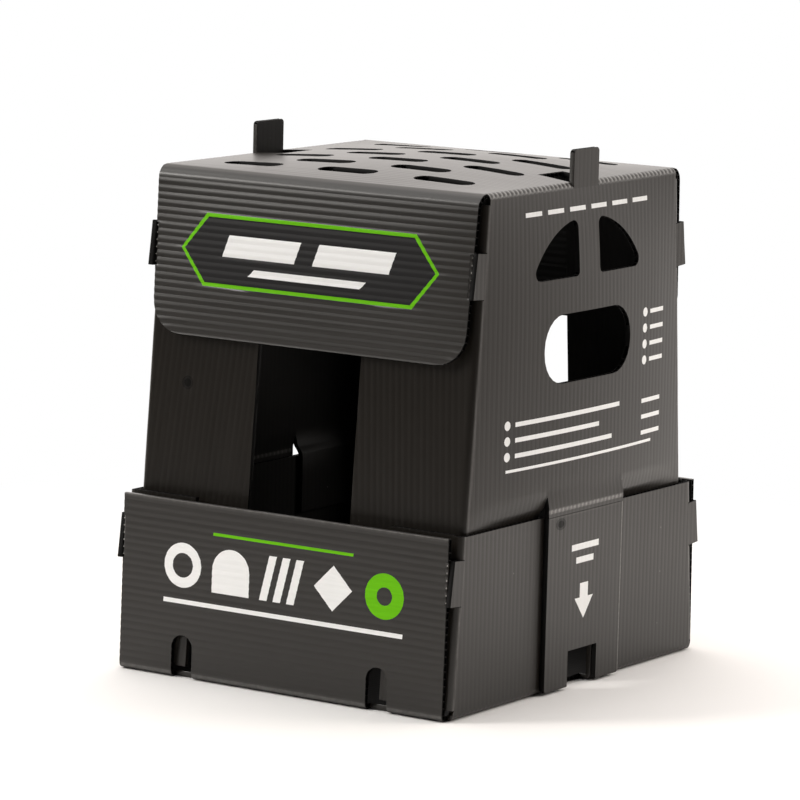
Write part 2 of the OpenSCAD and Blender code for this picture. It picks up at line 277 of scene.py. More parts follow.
@dataclass
class FlatCut:
    """A cut blank lying flat: flutes run along its first axis, and the second runs across them.

    Attributes:
        keep: Outlines of the panels, which may overlap.
        cut: Holes and slots.
        prints: Printed areas with their ink, later ones over earlier ones.
        guides: Open lines that the mesh follows, such as creases.
        cross: Places along the flutes where mesh lines cross them.
    """

    keep: list[Array]
    cut: list[Array] = field(default_factory=list)
    prints: list[Print] = field(default_factory=list)
    guides: list[Array] = field(default_factory=list)
    cross: Array = field(default_factory=lambda: np.zeros(0))

    def split_loop(self, loop: Array) -> Array:
        """Adds points to an outline where the cross lines meet it and where its edges are long."""
        out: list[Array] = []
        for p, q in zip(loop, np.roll(loop, -1, axis=0)):
            out.append(p)
            length = float(np.linalg.norm(q - p))
            steps = int(length / SHEET.cross_step) + 1
            shares = set(np.arange(1, steps) / steps)
            if abs(q[0] - p[0]) > 1e-6:
                meets = (self.cross - p[0]) / (q[0] - p[0])
                end = 0.001
                shares = set(meets[(meets > end) & (meets < 1 - end)]) or shares
            out.extend(p + (q - p) * share for share in sorted(shares))
        return np.array(out)

    def rib_chains(self) -> list[Array]:
        """Lines along the flutes, each split where a cross line meets it."""
        # Panels closer than join_gap share a line, and a line runs past its panel by overrun
        join_gap, end_gap, overrun = 0.6, 0.2, 0.3
        points = np.concatenate(self.keep)
        chains = []
        for row in SHEET.rows(points[:, 1].min(), points[:, 1].max()):
            spans = []
            for loop in self.keep:
                nxt = np.roll(loop, -1, axis=0)
                meets = (loop[:, 1] > row) != (nxt[:, 1] > row)
                p, q = loop[meets], nxt[meets]
                xs = np.sort(p[:, 0] + (row - p[:, 1]) / (q[:, 1] - p[:, 1]) * (q[:, 0] - p[:, 0]))
                spans += list(zip(xs[0::2], xs[1::2]))
            merged: list[list[float]] = []
            for x0, x1 in sorted(spans):
                if merged and x0 <= merged[-1][1] + join_gap:
                    merged[-1][1] = max(merged[-1][1], x1)
                else:
                    merged.append([x0, x1])
            for x0, x1 in merged:
                xs = self.cross[(self.cross > x0 + end_gap) & (self.cross < x1 - end_gap)]
                xs = np.concatenate([[x0 - overrun], xs, [x1 + overrun]])
                chains.append(np.stack([xs, np.full(len(xs), row)], 1))
        return chains

    def triangles(self) -> tuple[Array, Array, Array]:
        """Meshes the blank.

        Returns:
            Flat points, counter-clockwise triangles, and the finish of each triangle.
        """
        merge_gap, least_area = 1e-4, 1e-7
        coords: list[Vector] = []
        edges: list[tuple[int, int]] = []
        loops = [self.split_loop(loop) for loop in self.keep + self.cut]
        loops += [loop for _, loop in self.prints]
        for line, closed in [(l, True) for l in loops] + [(l, False) for l in self.rib_chains() + self.guides]:
            first, n = len(coords), len(line)
            coords.extend(Vector(p) for p in line.tolist())
            edges.extend((first + i, first + (i + 1) % n) for i in range(n if closed else n - 1))
        made = delaunay_2d_cdt(coords, edges, [], 0, merge_gap, False)
        points = np.array([tuple(v) for v in made[0]])
        tris = np.array([f for f in made[2] if len(f) == 3])
        p0, p1, p2 = points[tris.T]
        area = (p1[:, 0] - p0[:, 0]) * (p2[:, 1] - p0[:, 1]) - (p1[:, 1] - p0[:, 1]) * (p2[:, 0] - p0[:, 0])
        tris[area < 0] = tris[area < 0][:, ::-1]
        middle = (p0 + p1 + p2) / 3
        kept = np.zeros(len(tris), bool)
        for loop in self.keep:
            kept |= inside(loop, middle)
        for loop in self.cut:
            kept &= ~inside(loop, middle)
        kept &= np.abs(area) > least_area
        tris, middle = tris[kept], middle[kept]
        finish = np.full(len(tris), int(Finish.SHEET))
        for ink, loop in self.prints:
            finish[inside(loop, middle)] = int(ink)
        used, index = np.unique(tris, return_inverse=True)
        return points[used], index.reshape(-1, 3), finish


def add_object(name: str, data: ID) -> Object:
    """Makes an object at the origin and links it to the scene."""
    obj = bpy.data.objects.new(name, data)
    bpy.context.scene.collection.objects.link(obj)
    return obj


@dataclass
class SheetMesh:
    """Points, faces and surface values of one or more folded sheets."""

    points: Array = field(default_factory=lambda: np.zeros((0, 3)))
    flat: Array = field(default_factory=lambda: np.zeros((0, 2)))
    marks: Array = field(default_factory=lambda: np.zeros(0))
    faces: list[tuple[int, ...]] = field(default_factory=list)
    finish: list[int] = field(default_factory=list)

    def join(self, other: "SheetMesh") -> None:
        """Adds another mesh to this one."""
        shift = len(self.points)
        self.points = np.concatenate([self.points, other.points])
        self.flat = np.concatenate([self.flat, other.flat])
        self.marks = np.concatenate([self.marks, other.marks])
        self.faces += [tuple(i + shift for i in face) for face in other.faces]
        self.finish += other.finish

    def to_object(self, name: str, materials: Sequence[Material]) -> Object:
        """Makes the Blender object.

        Args:
            name: Name of the piece.
            materials: One material for each finish.

        Returns:
            The object, at the origin with its place in its mesh.
        """
        mesh = bpy.data.meshes.new(name)
        mesh.from_pydata((self.points * MM).tolist(), [], self.faces)
        for material in materials:
            mesh.materials.append(material)
        mesh.polygons.foreach_set("material_index", np.array(self.finish, np.int32))
        mesh.polygons.foreach_set("use_smooth", np.ones(len(self.faces), bool))
        corner = np.zeros(len(mesh.loops), np.int32)
        mesh.loops.foreach_get("vertex_index", corner)
        uv = mesh.uv_layers.new(name=FLAT_UV)
        uv.uv.foreach_set("vector", (self.flat[corner] * MM).astype(np.float32).ravel())
        marks = mesh.attributes.new(STRESS_AND_LIGHT_MARK, "FLOAT", "POINT")
        marks.data.foreach_set("value", self.marks.astype(np.float32))
        mesh.set_sharp_from_angle(angle=SHARP_ANGLE)
        mesh.update()
        return add_object(name, mesh)


# Share of a rim edge that has to run across the flutes for their ends to show open
OPEN_SHARE = 0.35
# Least openness of the cell under a rim edge that gets a pocket
OPEN_CELL = 0.05
# Strength of the pale marks on the inner face, stress marks and painted highlights alike
INNER_MARK = 0.3


def fold_sheet(cut: FlatCut, fold: Fold, sink: Field, marks: Optional[Field] = None,
               side: Finish = Finish.CUT_EDGE, pale: float = 0.0) -> SheetMesh:
    """Folds a cut blank into a closed sheet with open flutes at its cut edges.

    Args:
        cut: The flat blank.
        fold: Takes flat points and heights over the outer face to places in the box.
        sink: Depth of the outer skin under the crowns at flat points.
        marks: Pale marks, from 0 to 1, at flat points: stress marks, and on some creases and edges painted
            highlights.
        side: Finish of the edges that are cut along the flutes.
        pale: Painted highlight on the edges.

    Returns:
        The folded sheet.
    """
    flat, tris, finish = cut.triangles()
    n = len(flat)
    depth = sink(flat)
    outer = fold(flat, -depth)
    inner = fold(flat, -SHEET.thickness + np.minimum(depth, SHEET.inner_sink))
    pairs = np.concatenate([tris[:, [0, 1]], tris[:, [1, 2]], tris[:, [2, 0]]])
    keys = {(int(i), int(j)) for i, j in pairs}
    rim = [(i, j) for i, j in keys if (j, i) not in keys]
    ahead = {i: j for i, j in rim}
    behind = {j: i for i, j in rim}
    out = np.zeros((n, 2))
    for i, j in rim:
        along = (flat[j] - flat[i]) / max(np.linalg.norm(flat[j] - flat[i]), 1e-9)
        out[i] += (along[1], -along[0])
        out[j] += (along[1], -along[0])
    out /= np.maximum(np.linalg.norm(out, axis=1), 1e-9)[:, None]
    edge = np.array(sorted(ahead), int)
    slot = {int(v): k for k, v in enumerate(edge)}
    wide = flat[edge] + out[edge] * SHEET.chamfer
    deep = flat[edge] - out[edge] * SHEET.pocket
    lip, floor = SHEET.skin, SHEET.thickness - SHEET.skin
    m = len(edge)
    rings = [fold(place, np.full(m, -down)) for place in (wide, deep) for down in (lip, floor)]
    points = np.concatenate([outer, inner] + rings)

    def ring(k: int, v: int) -> int:
        """Index of a rim point: ring 0 and 1 are the lips, 2 and 3 the ends of the pockets."""
        return 2 * n + k * m + slot[v]

    def across(i: int, j: int) -> bool:
        """Tells whether a rim edge runs across the flutes."""
        return bool(abs(flat[j][1] - flat[i][1]) > OPEN_SHARE * np.linalg.norm(flat[j] - flat[i]))

    def open_end(i: int, j: int) -> bool:
        """Tells whether a rim edge lies across an open cell."""
        return across(i, j) and bool(SHEET.cell((flat[[i, j]].mean(0))[1:2])[0] > OPEN_CELL)

    faces = [tuple(t) for t in tris.tolist()] + [tuple(n + i for i in t[::-1]) for t in tris.tolist()]
    # Inner faces take the darker finish that paints the shade of the inside
    slots = finish.tolist() + [int(Finish.INNER)] * len(tris)
    pocket = {(i, j): open_end(i, j) for i, j in rim}
    for i, j in rim:
        a, b, c, d = ((ring(k, i), ring(k, j)) for k in range(4))
        made = [(i, a[0], a[1], j), (b[0], n + i, n + j, b[1])]
        if pocket[(i, j)]:
            made += [(a[0], c[0], c[1], a[1]), (c[0], d[0], d[1], c[1]), (d[0], b[0], b[1], d[1])]
            if not pocket.get((behind.get(i, -1), i), False):
                made.append((a[0], b[0], d[0], c[0]))
            if not pocket.get((j, ahead.get(j, -1)), False):
                made.append((b[1], a[1], c[1], d[1]))
        else:
            made.append((a[0], b[0], b[1], a[1]))
        faces += made
        # Edges across the flutes, pockets included, take the dark cut-edge finish that paints the shade of the
        # open flutes
        slots += [int(Finish.CUT_EDGE if across(i, j) else side)] * len(made)
    first, second, third = outer[tris.T]
    normal = np.cross(second - first, third - first)
    if float(np.sum(normal * (first - inner[tris[:, 0]]))) < 0:
        faces = [face[::-1] for face in faces]
    flats = np.concatenate([flat, flat, wide, wide, deep, deep])
    # The pale marks hold stress marks and painted highlights, and pale adds a painted highlight on every rim
    # point
    stress = np.zeros(n) if marks is None else marks(flat)
    stress = np.concatenate([stress, stress * INNER_MARK, np.full(4 * m, pale)])
    return SheetMesh(points, flats, stress, faces, slots)


def smooth(low: float, high: float, value: Array) -> Array:
    """Goes smoothly from 0 at the low limit to 1 at the high one."""
    share = np.clip((value - low) / (high - low), 0, 1)
    return share * share * (3 - 2 * share)


def near(offset: Array, full: float, gone: float) -> Array:
    """1 up to a distance from a line, going smoothly to 0 at a longer one."""
    return smooth(gone, full, np.abs(offset))


def crushed(flat: Array, depth: Array, crease: Array, tooth: float) -> Array:
    """Sink of a sheet whose flutes are crushed along a crease.

    Args:
        flat: Flat points.
        depth: Depth of the flutes at the points.
        crease: 1 on the crease and 0 away from it.
        tooth: Depth of the crushed cells.

    Returns:
        Depths under the crowns.
    """
    return SHEET.crown(flat[:, 1]) * depth * (1 - crease) + SHEET.cell(flat[:, 1]) * crease * tooth


def ribs(depth: float) -> Field:
    """Sink of a sheet whose flutes show evenly."""
    return lambda flat: SHEET.crown(flat[:, 1]) * depth


def mirrored(fold: Fold, side: float, end: float) -> Fold:
    """Moves a fold that is written for the right rear corner to another corner."""
    turn = np.array([side, end, 1.0])
    return lambda flat, height: fold(flat, height) * turn


CORNERS = [(side, end) for side in (1.0, -1.0) for end in (1.0, -1.0)]


@dataclass
class FoldedBlank:
    """A folded sheet with side walls, corner flaps and locks: what the tray and the top share.

    Attributes:
        half_w: Half width over the side walls.
        foot: Distance from the middle at which the corner flaps' outer faces would meet the floor.
        lean: Inward lean of the corner flaps, in degrees.
        crease_r: Outer radius of the creases.
        lock_z: Height of the lower edge of the corner locks.
        lock_h: Height of the corner locks.
        lock_out: How far the lock tabs stand out of the corner flaps.
        end_foot: Distance from the middle at which the end panels' outer faces would meet the floor.
        end_lean: Inward lean of the end panels, in degrees.
        ear_x: Outer face of the ears.
        ear_l: Length of the ears.
        flap_x: Distance of the corner flaps' free edges from the middle.
        flap_low: Height of the corner flaps' lower edges.
        flap_high: Height of the corner flaps' upper edges.
        fold_high: Height at which the corner folds end.
        ear_r: Outer radius of the ears' creases.
        ear_gap: How far short of its bend an ear starts.
        ear_mark: Strength of the stress marks on the ears' creases.
        lock_slope: How much shorter a lock tab is at its upper edge.
        lock_rib: Depth of the flutes on the lock tabs.
        slack: Room round the locks.
    """

    half_w: float
    foot: float
    lean: float
    crease_r: float
    lock_z: float
    lock_h: float
    lock_out: float
    end_foot: float
    end_lean: float
    ear_x: float
    ear_l: float
    flap_x: float
    flap_low: float
    flap_high: float
    fold_high: float
    ear_r: float
    ear_gap: float = 0.3
    ear_mark: float = 0.25
    lock_slope: float = 1.5
    lock_rib: float = 0.05
    slack: float = 0.5

    def __post_init__(self) -> None:
        """Works out the slopes and the length of a crease."""
        self.cos, self.sin = math.cos(math.radians(self.lean)), math.sin(math.radians(self.lean))
        self.arc = self.crease_r * math.pi / 2
        self.ear_root = self.ear_x - self.ear_r - self.ear_gap
        self.crests: list[Array] = []

    def set_paths(self, side_path: BentPath, end_path: BentPath) -> None:
        """Keeps the paths over a side wall and over an end panel, and where their creases lie."""
        self.side_path, self.end_path = side_path, end_path
        self.fold_a, self.fold_b = side_path.bends[0], end_path.bends[0]
        self.crease_mid = sum(self.fold_a) / 2

    def along(self, z: float) -> float:
        """Place along the blank of a height on the side wall."""
        raise NotImplementedError

    def first_web(self) -> float:
        """Distance up the end panels at which one of their webs lies."""
        raise NotImplementedError

    def corner(self, t: float, e: float, end: float = 1.0, side: float = 1.0) -> tuple[float, float]:
        """Flat place of a point near a corner fold.

        Args:
            t: Distance up the fold from the floor.
            e: Distance past the start of the fold, towards the corner flap.
            end: 1 at the back and -1 at the front.
            side: 1 at the right and -1 at the left.

        Returns:
            The flat place.
        """
        d = self.crease_r - e
        b = self.foot - t * self.sin - d * self.cos
        z = t * self.cos - d * self.sin
        return side * self.along(z), end * b

    def corner_at(self, z: float, e: float) -> tuple[float, float]:
        """Flat place past the right rear corner fold, at a height of the unfolded side wall."""
        d = self.crease_r - e
        return self.along(z), self.foot - z * self.sin / self.cos - d / self.cos

    def flap_e(self, x: float) -> float:
        """Distance past the start of the corner fold of a place on the corner flap."""
        return self.arc + self.half_w - self.crease_r - x

    def fold_past(self, b: Array, z: Array) -> Array:
        """Distance past the start of the corner folds of places on the unfolded side wall."""
        return self.crease_r - ((self.foot - b) * self.cos - z * self.sin)

    def turn_corner(self, x: Array, b: Array, z: Array, height: Array) -> Array:
        """Folds what lies past the corner folds, in the right rear quarter.

        Args:
            x: Outer face of the side wall.
            b: Flat distance from the middle.
            z: Flat height.
            height: Height over the outer face.

        Returns:
            Places in the quarter.
        """
        e = np.maximum(self.fold_past(b, z), 0)
        angle = np.minimum(e / self.crease_r, math.pi / 2)
        beyond = np.maximum(e - self.arc, 0)
        run = self.crease_r * np.sin(angle) + height * np.sin(angle) - e
        px = x - self.crease_r * (1 - np.cos(angle)) - beyond + height * np.cos(angle)
        return np.stack([px, b + run * self.cos, z + run * self.sin], 1)

    def fold_quarter(self, a: Array, b: Array, height: Array, panel: Array, wall: float) -> Array:
        """Folds a quarter of the blank.

        Args:
            a: Flat distances along the blank.
            b: Flat distances across it.
            height: Heights over the outer face.
            panel: Which points lie on the end panel.
            wall: Distance along the blank from which the side wall has corner folds.

        Returns:
            Places in the right rear quarter.
        """
        out = np.empty((len(a), 3))
        p, normal = self.end_path.at(b[panel])
        out[panel, 0], out[panel, 1:] = a[panel], p + normal * height[panel, None]
        rest = ~panel
        p, normal = self.side_path.at(a[rest])
        x, z = (p + normal * height[rest, None]).T
        plain = np.stack([x, b[rest], z], 1)
        turned = self.turn_corner(p[:, 0], b[rest], p[:, 1], height[rest])
        past = (self.fold_past(b[rest], p[:, 1]) > 0) & (a[rest] > wall)
        out[rest] = np.where(past[:, None], turned, plain)
        return out

    def cross_lines(self, beside: float, count: int, end: float,
                    bends: Sequence[tuple[float, float]] = ()) -> Array:
        """Places along the blank of the mesh lines across the flutes, closer together on creases.

        Args:
            beside: How far the close lines reach past the crease of a side wall.
            count: How many there are.
            end: Height on the side wall at which the lines end.
            bends: Heights on the side wall between which four more close lines lie.

        Returns:
            The places.
        """
        a0, a1 = self.fold_a
        first, before, after = 6.5, 4, 8
        lines = [
            np.arange(first, a0 - before, SHEET.cross_step),
            np.linspace(a0 - beside, a1 + beside, count),
            np.arange(a1 + after, self.along(end), SHEET.cross_step),
        ]
        lines += [np.linspace(self.along(high), self.along(low), 4) for high, low in bends]
        half = np.unique(np.round(np.concatenate(lines), 3))
        return np.concatenate([-half[::-1], half])

    def side_loop(self, inner: float, end_b: float, first_z: float, low_gap: bool) -> Array:
        """Outline of a side wall with its crease and its two corner flaps, at the right.

        Args:
            inner: Where the wall's crease starts.
            end_b: Half length of the crease.
            first_z: Height at which the crease ends.
            low_gap: True where the corner flaps start above the crease, as on the tray.

        Returns:
            The outline.
        """
        e_lap, e_end = self.flap_e(self.half_w - 2 * SHEET.thickness), self.flap_e(self.flap_x)
        low, high, fold_high = self.flap_low / self.cos, self.flap_high / self.cos, self.fold_high / self.cos
        half = [(inner, end_b), (self.along(first_z), end_b)]
        if low_gap:
            half += [self.corner(low, 0), self.corner(low, e_end), self.corner(high, e_end)]
            half += [self.corner(high, e_lap), self.corner(fold_high, e_lap), self.corner(fold_high, 0)]
        else:
            half += [self.corner(fold_high, 0), self.corner(fold_high, e_lap)]
            half += [self.corner_at(self.flap_high, e_lap), self.corner_at(self.flap_high, e_end)]
            half += [self.corner(low, e_end), self.corner(low, 0)]
        return np.array(half + [(a, -b) for a, b in reversed(half)])

    def crease_guides(self) -> list[Array]:
        """Lines along the four corner folds."""
        steps = np.linspace(self.flap_low / self.cos, self.fold_high / self.cos, 18)
        beside = 1.2
        places = (-beside, *np.linspace(0, self.arc, 5), self.arc + beside)
        return [
            np.array([self.corner(t, e, end, side) for t in steps])
            for side, end in CORNERS for e in places
        ]

    def lock_slots(self) -> list[Array]:
        """Slots in the corner folds that the ears pass through."""
        low = self.lock_z / self.cos - self.slack
        high = self.lock_z / self.cos + self.lock_h + self.slack
        reach = self.flap_e(self.half_w - 2 * SHEET.thickness - self.slack)
        slot = ((low, 0), (low, reach), (high, reach), (high, 0))
        return [np.array([self.corner(t, e, end, side) for t, e in slot]) for side, end in CORNERS]

    def lock_tabs(self) -> SheetMesh:
        """Tabs that stand on in the plane of the side walls past the corner folds.

        Returns:
            The four tabs.
        """
        made = SheetMesh()
        low = self.lock_z / self.cos
        reach = self.crease_r + self.lock_out
        high = low + self.lock_h
        outline = [(low, 0), (low, reach), (high, reach - self.lock_slope), (high, 0)]
        loop = np.array([self.corner(t, e) for t, e in outline])
        cross = np.linspace(loop[:, 0].min(), loop[:, 0].max(), 4)
        cut = FlatCut([loop], cross=cross)
        z0 = self.lock_z
        a0 = self.along(z0)
        step = 1.0 if self.along(z0 + 1) > a0 else -1.0

        def fold(flat: Array, height: Array) -> Array:
            """Keeps the tab in the plane of the side wall."""
            return np.stack([self.half_w + height, flat[:, 1], z0 + (flat[:, 0] - a0) * step], 1)

        for side, end in CORNERS:
            made.join(fold_sheet(cut, mirrored(fold, side, end), ribs(self.lock_rib)))
        return made

    def ears(self, depth: float) -> SheetMesh:
        """Ears of the end panels, bent back through the slots.

        Args:
            depth: Depth of the flutes.

        Returns:
            The four ears.
        """
        made = SheetMesh()
        sin, cos = math.sin(math.radians(self.end_lean)), math.cos(math.radians(self.end_lean))
        path = BentPath([(self.ear_root, 0), (self.ear_x, 0), (self.ear_x, -self.ear_l)], [self.ear_r])
        bend_start, bend_end = path.bends[0]
        mid = (bend_start + bend_end) / 2
        web = self.first_web()
        low = self.ear_t() - web
        high = low + self.lock_h - 2 * self.slack
        before, bend = np.linspace(0, bend_start, 3), np.linspace(bend_start, bend_end, 7)
        cross = np.unique(np.concatenate([before, bend, [path.length]]))
        cut = FlatCut([box_loop(0, path.length, low, high)], cross=cross)

        def fold(flat: Array, height: Array) -> Array:
            """Bends an ear back from its end panel."""
            p, normal = path.at(flat[:, 0])
            x, back = p[:, 0] + normal[:, 0] * height, p[:, 1] + normal[:, 1] * height
            up = flat[:, 1] + web
            return np.stack([x, self.end_foot - up * sin + back * cos, up * cos + back * sin], 1)

        def marks(flat: Array) -> Array:
            """Stress marks on the crushed flutes of the bend."""
            return near(flat[:, 0] - mid, 0.3, 1.3) * self.ear_mark * SHEET.cell(flat[:, 1])

        def sink(flat: Array) -> Array:
            """Flutes that run up to the bend and are pressed flat past it."""
            return SHEET.crown(flat[:, 1]) * depth * smooth(bend_end, bend_start, flat[:, 0])

        crest = np.array([[mid, low + SHEET.pitch / 2], [mid, high - SHEET.thickness / 2]])
        proud = np.full(2, 0.05)
        for side, end in CORNERS:
            to_corner = mirrored(fold, side, end)
            made.join(fold_sheet(cut, to_corner, sink, marks))
            self.crests.append(to_corner(crest, proud))
        return made

    def ear_t(self) -> float:
        """Distance up the end panel of an ear's lower edge."""
        return self.lock_z / math.cos(math.radians(self.end_lean)) + self.slack


def rub_loops(radii: Sequence[float]) -> list[Print]:
    """A round rub mark with its rim, about the origin.

    Args:
        radii: Radius of the rim and of the mark.

    Returns:
        The outlines with their finishes, in millimetres.
    """
    finishes = Finish.RUBBED_RIM, Finish.RUBBED
    return [(finish, disc_loop(0, 0, radius)) for finish, radius in zip(finishes, radii)]


def flap_art() -> list[Print]:
    """An outlined ribbon with three bars, as places across and up a flap."""
    art: list[Print] = []
    low, mid, high, left, right, tip = 216, 236, 256, -70, 68, 16
    for inset, ink in ((0.0, Finish.GREEN_INK), (2.0, Finish.BLACK_INK)):
        point, notch = inset * 1.15, inset * 0.6
        ribbon = [
            (left - tip + point, mid), (left + notch, low + inset), (right - notch, low + inset),
            (right + tip - point, mid), (right - notch, high - inset), (left + notch, high - inset),
        ]
        art.append((ink, np.array(ribbon)))
    slant = 4
    for x0, x1, z0, z1 in ((-58, -6, 233, 245), (2, 56, 233, 245), (-40, 38, 223.5, 227.5)):
        bar = [(x0, z0), (x1 - slant, z0), (x1, z1), (x0 + slant, z1)]
        art.append((Finish.WHITE_INK, np.array(bar)))
    return art


def side_art() -> list[Array]:
    """Short bars and dots, as places across and up a side panel."""
    half_bar, dot_r = 1.2, 2.6
    high_rows, low_rows = (202, 193, 184, 175), (152, 143, 134)
    bars = [(-62 + 22 * i, -46 + 22 * i, 264.5, 267.0) for i in range(6)]
    bars += [(-70, 34, 152.5, 155.0), (-70, 12, 144.0, 146.5), (-70, 26, 135.5, 138.0)]
    bars += [(-78, 72, 128.0, 129.6)]
    bars += [(68, 84, z - half_bar, z + half_bar) for z in high_rows]
    bars += [(60, 82, z - half_bar, z + half_bar) for z in low_rows]
    dots = [(62, z) for z in high_rows] + [(-77, z) for z in (153.7, 145.2, 136.7)]
    return [box_loop(*bar) for bar in bars] + [disc_loop(y, z, dot_r, 16) for y, z in dots]


def tray_art() -> list[Print]:
    """A row of rings, bars and a diamond between two lines, as places across and up an end panel."""
    mid, r = 63.0, 12.5
    low, high = mid - r, mid + r
    arch = [(-46, low), (-21, low), (-21, high), (-46, high)]
    diamond = [(22, mid), (22 + r, low), (22 + 2 * r, mid), (22 + r, high)]
    art = [
        (Finish.WHITE_INK, disc_loop(-66, mid, r, 40)),
        (Finish.SHEET, disc_loop(-66, mid, r * 0.55, 28)),
        (Finish.WHITE_INK, rounded(arch, [0, 0, r - 0.1, r - 0.1], 10)),
        (Finish.WHITE_INK, np.array(diamond)),
        (Finish.GREEN_INK, disc_loop(68, mid, r, 40)),
        (Finish.SHEET, disc_loop(68, mid, r * 0.4, 24)),
        (Finish.WHITE_INK, box_loop(-78.5, 80.5, 41.5, 44.0)),
        (Finish.GREEN_INK, box_loop(-46, 47, 82.0, 83.6)),
    ]
    for x in (-14, -5, 4):
        slanted = [(x, low), (x + 5, low), (x + 11, high), (x + 6, high)]
        art.append((Finish.WHITE_INK, np.array(slanted)))
    return art


@dataclass
class BoxTop(FoldedBlank):
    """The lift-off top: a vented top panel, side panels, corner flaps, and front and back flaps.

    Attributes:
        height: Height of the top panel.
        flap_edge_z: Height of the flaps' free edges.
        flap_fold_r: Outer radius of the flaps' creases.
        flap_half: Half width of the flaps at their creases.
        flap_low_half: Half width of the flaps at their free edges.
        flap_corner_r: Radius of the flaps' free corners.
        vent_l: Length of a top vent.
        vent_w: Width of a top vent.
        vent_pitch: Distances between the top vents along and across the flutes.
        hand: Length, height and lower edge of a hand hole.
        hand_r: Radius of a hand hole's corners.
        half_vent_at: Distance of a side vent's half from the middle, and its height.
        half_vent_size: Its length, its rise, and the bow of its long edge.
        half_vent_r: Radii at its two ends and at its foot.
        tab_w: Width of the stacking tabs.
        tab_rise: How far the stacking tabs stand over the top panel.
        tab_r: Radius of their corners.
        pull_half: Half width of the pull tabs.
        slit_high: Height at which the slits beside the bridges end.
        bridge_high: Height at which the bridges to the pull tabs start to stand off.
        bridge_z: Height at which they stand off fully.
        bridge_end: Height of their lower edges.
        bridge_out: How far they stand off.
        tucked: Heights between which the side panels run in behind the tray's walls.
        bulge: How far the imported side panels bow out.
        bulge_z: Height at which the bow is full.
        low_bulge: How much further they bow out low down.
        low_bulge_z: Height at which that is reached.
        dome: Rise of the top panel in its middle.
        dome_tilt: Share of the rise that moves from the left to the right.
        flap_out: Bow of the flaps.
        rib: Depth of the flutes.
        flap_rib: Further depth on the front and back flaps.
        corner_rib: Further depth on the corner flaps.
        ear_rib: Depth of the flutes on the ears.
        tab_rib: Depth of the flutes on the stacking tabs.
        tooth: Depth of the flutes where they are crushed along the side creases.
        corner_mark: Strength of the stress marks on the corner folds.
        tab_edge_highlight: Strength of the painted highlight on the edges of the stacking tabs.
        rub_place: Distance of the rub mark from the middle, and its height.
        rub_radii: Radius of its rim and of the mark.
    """

    half_w: float = 107.4
    foot: float = 120.896
    lean: float = 4.5
    crease_r: float = 3.4
    lock_z: float = 224.0
    lock_h: float = 24.5
    lock_out: float = 6.6
    end_foot: float = 125.912
    end_lean: float = 4.5
    ear_x: float = 104.15
    ear_l: float = 9.3
    flap_x: float = 34.0
    flap_low: float = 66.0
    flap_high: float = 276.0
    fold_high: float = 274.0
    ear_r: float = 1.5
    height: float = 280.0
    flap_edge_z: float = 188.0
    flap_fold_r: float = 8.0
    flap_half: float = 105.5
    flap_low_half: float = 102.7
    flap_corner_r: float = 18.5
    vent_l: float = 37.5
    vent_w: float = 12.5
    vent_pitch: tuple[float, float] = (63.0, 24.5)
    hand: tuple[float, float, float] = (89.0, 38.0, 171.5)
    hand_r: float = 18.0
    half_vent_at: tuple[float, float] = (10.5, 229.0)
    half_vent_size: tuple[float, float, float] = (46.5, 31.5, 7.0)
    half_vent_r: tuple[float, float] = (4.5, 3.0)
    tab_w: float = 25.5
    tab_rise: float = 17.5
    tab_r: float = 2.0
    pull_half: float = 38.5
    slit_high: float = 110.0
    bridge_high: float = 112.0
    bridge_z: float = 103.0
    bridge_end: float = 98.75
    bridge_out: float = 6.75
    tucked: tuple[float, float] = (98.6, 108.5)
    bulge: float = 5.5
    bulge_z: float = 185.0
    low_bulge: float = 0.7
    low_bulge_z: float = 105.0
    dome: float = 5.4
    dome_tilt: float = 0.35
    flap_out: float = 1.2
    rib: float = 0.055
    flap_rib: float = 0.215
    corner_rib: float = 0.13
    ear_rib: float = 0.27
    tab_rib: float = 0.03
    tooth: float = 0.4
    corner_mark: float = 0.12
    tab_edge_highlight: float = 0.2
    rub_place: tuple[float, float] = (80.0, 161.0)
    rub_radii: tuple[float, float] = (3.8, 2.3)

    def __post_init__(self) -> None:
        """Sets the paths of the sheet."""
        super().__post_init__()
        end_b, low_b = (self.end_foot - z * self.sin / self.cos for z in (self.height, self.flap_edge_z))
        below = 60.0
        side = [(0, self.height), (self.half_w, self.height), (self.half_w, below)]
        end = [(0, self.height), (end_b, self.height), (low_b, self.flap_edge_z)]
        self.set_paths(BentPath(side, [self.crease_r]), BentPath(end, [self.flap_fold_r]))
        self.slit = self.pull_half + 0.4

    def along(self, z: float) -> float:
        """Place along the blank of a height on the side panel."""
        return self.side_path.past(1, self.height - z)

    def wall_z(self, a: Array) -> Array:
        """Height on the side panel of places along the blank."""
        return self.height - (a - self.along(self.height))

    def first_web(self) -> float:
        """Distance up the flaps at which one of their webs lies."""
        return self.end_path.past(1, self.height / self.cos)

    def flap_b(self, z: float) -> float:
        """Flat place of a height on the front and back flaps."""
        return self.end_path.past(1, (self.height - z) / self.cos)

    def fold(self, flat: Array, height: Array) -> Array:
        """Folds the top's blank.

        Args:
            flat: Flat points.
            height: Heights over the outer face.

        Returns:
            Places in the box.
        """
        # The small distances keep points on a seam with the panel that they belong to
        a, b = np.abs(flat).T
        flap = (b > self.fold_b[0] - 0.2) & (a < self.fold_a[1] - 2.2)
        out = self.fold_quarter(a, b, height, flap, self.fold_a[1] - 0.4)
        out[:, 0] += self.side_bulge(a, b)
        out[:, 1] += self.flap_bow(a, b) * flap
        out[:, 2] += self.top_dome(flat, a, b)
        out[:, :2] *= np.where(flat < 0, -1.0, 1.0)
        return out

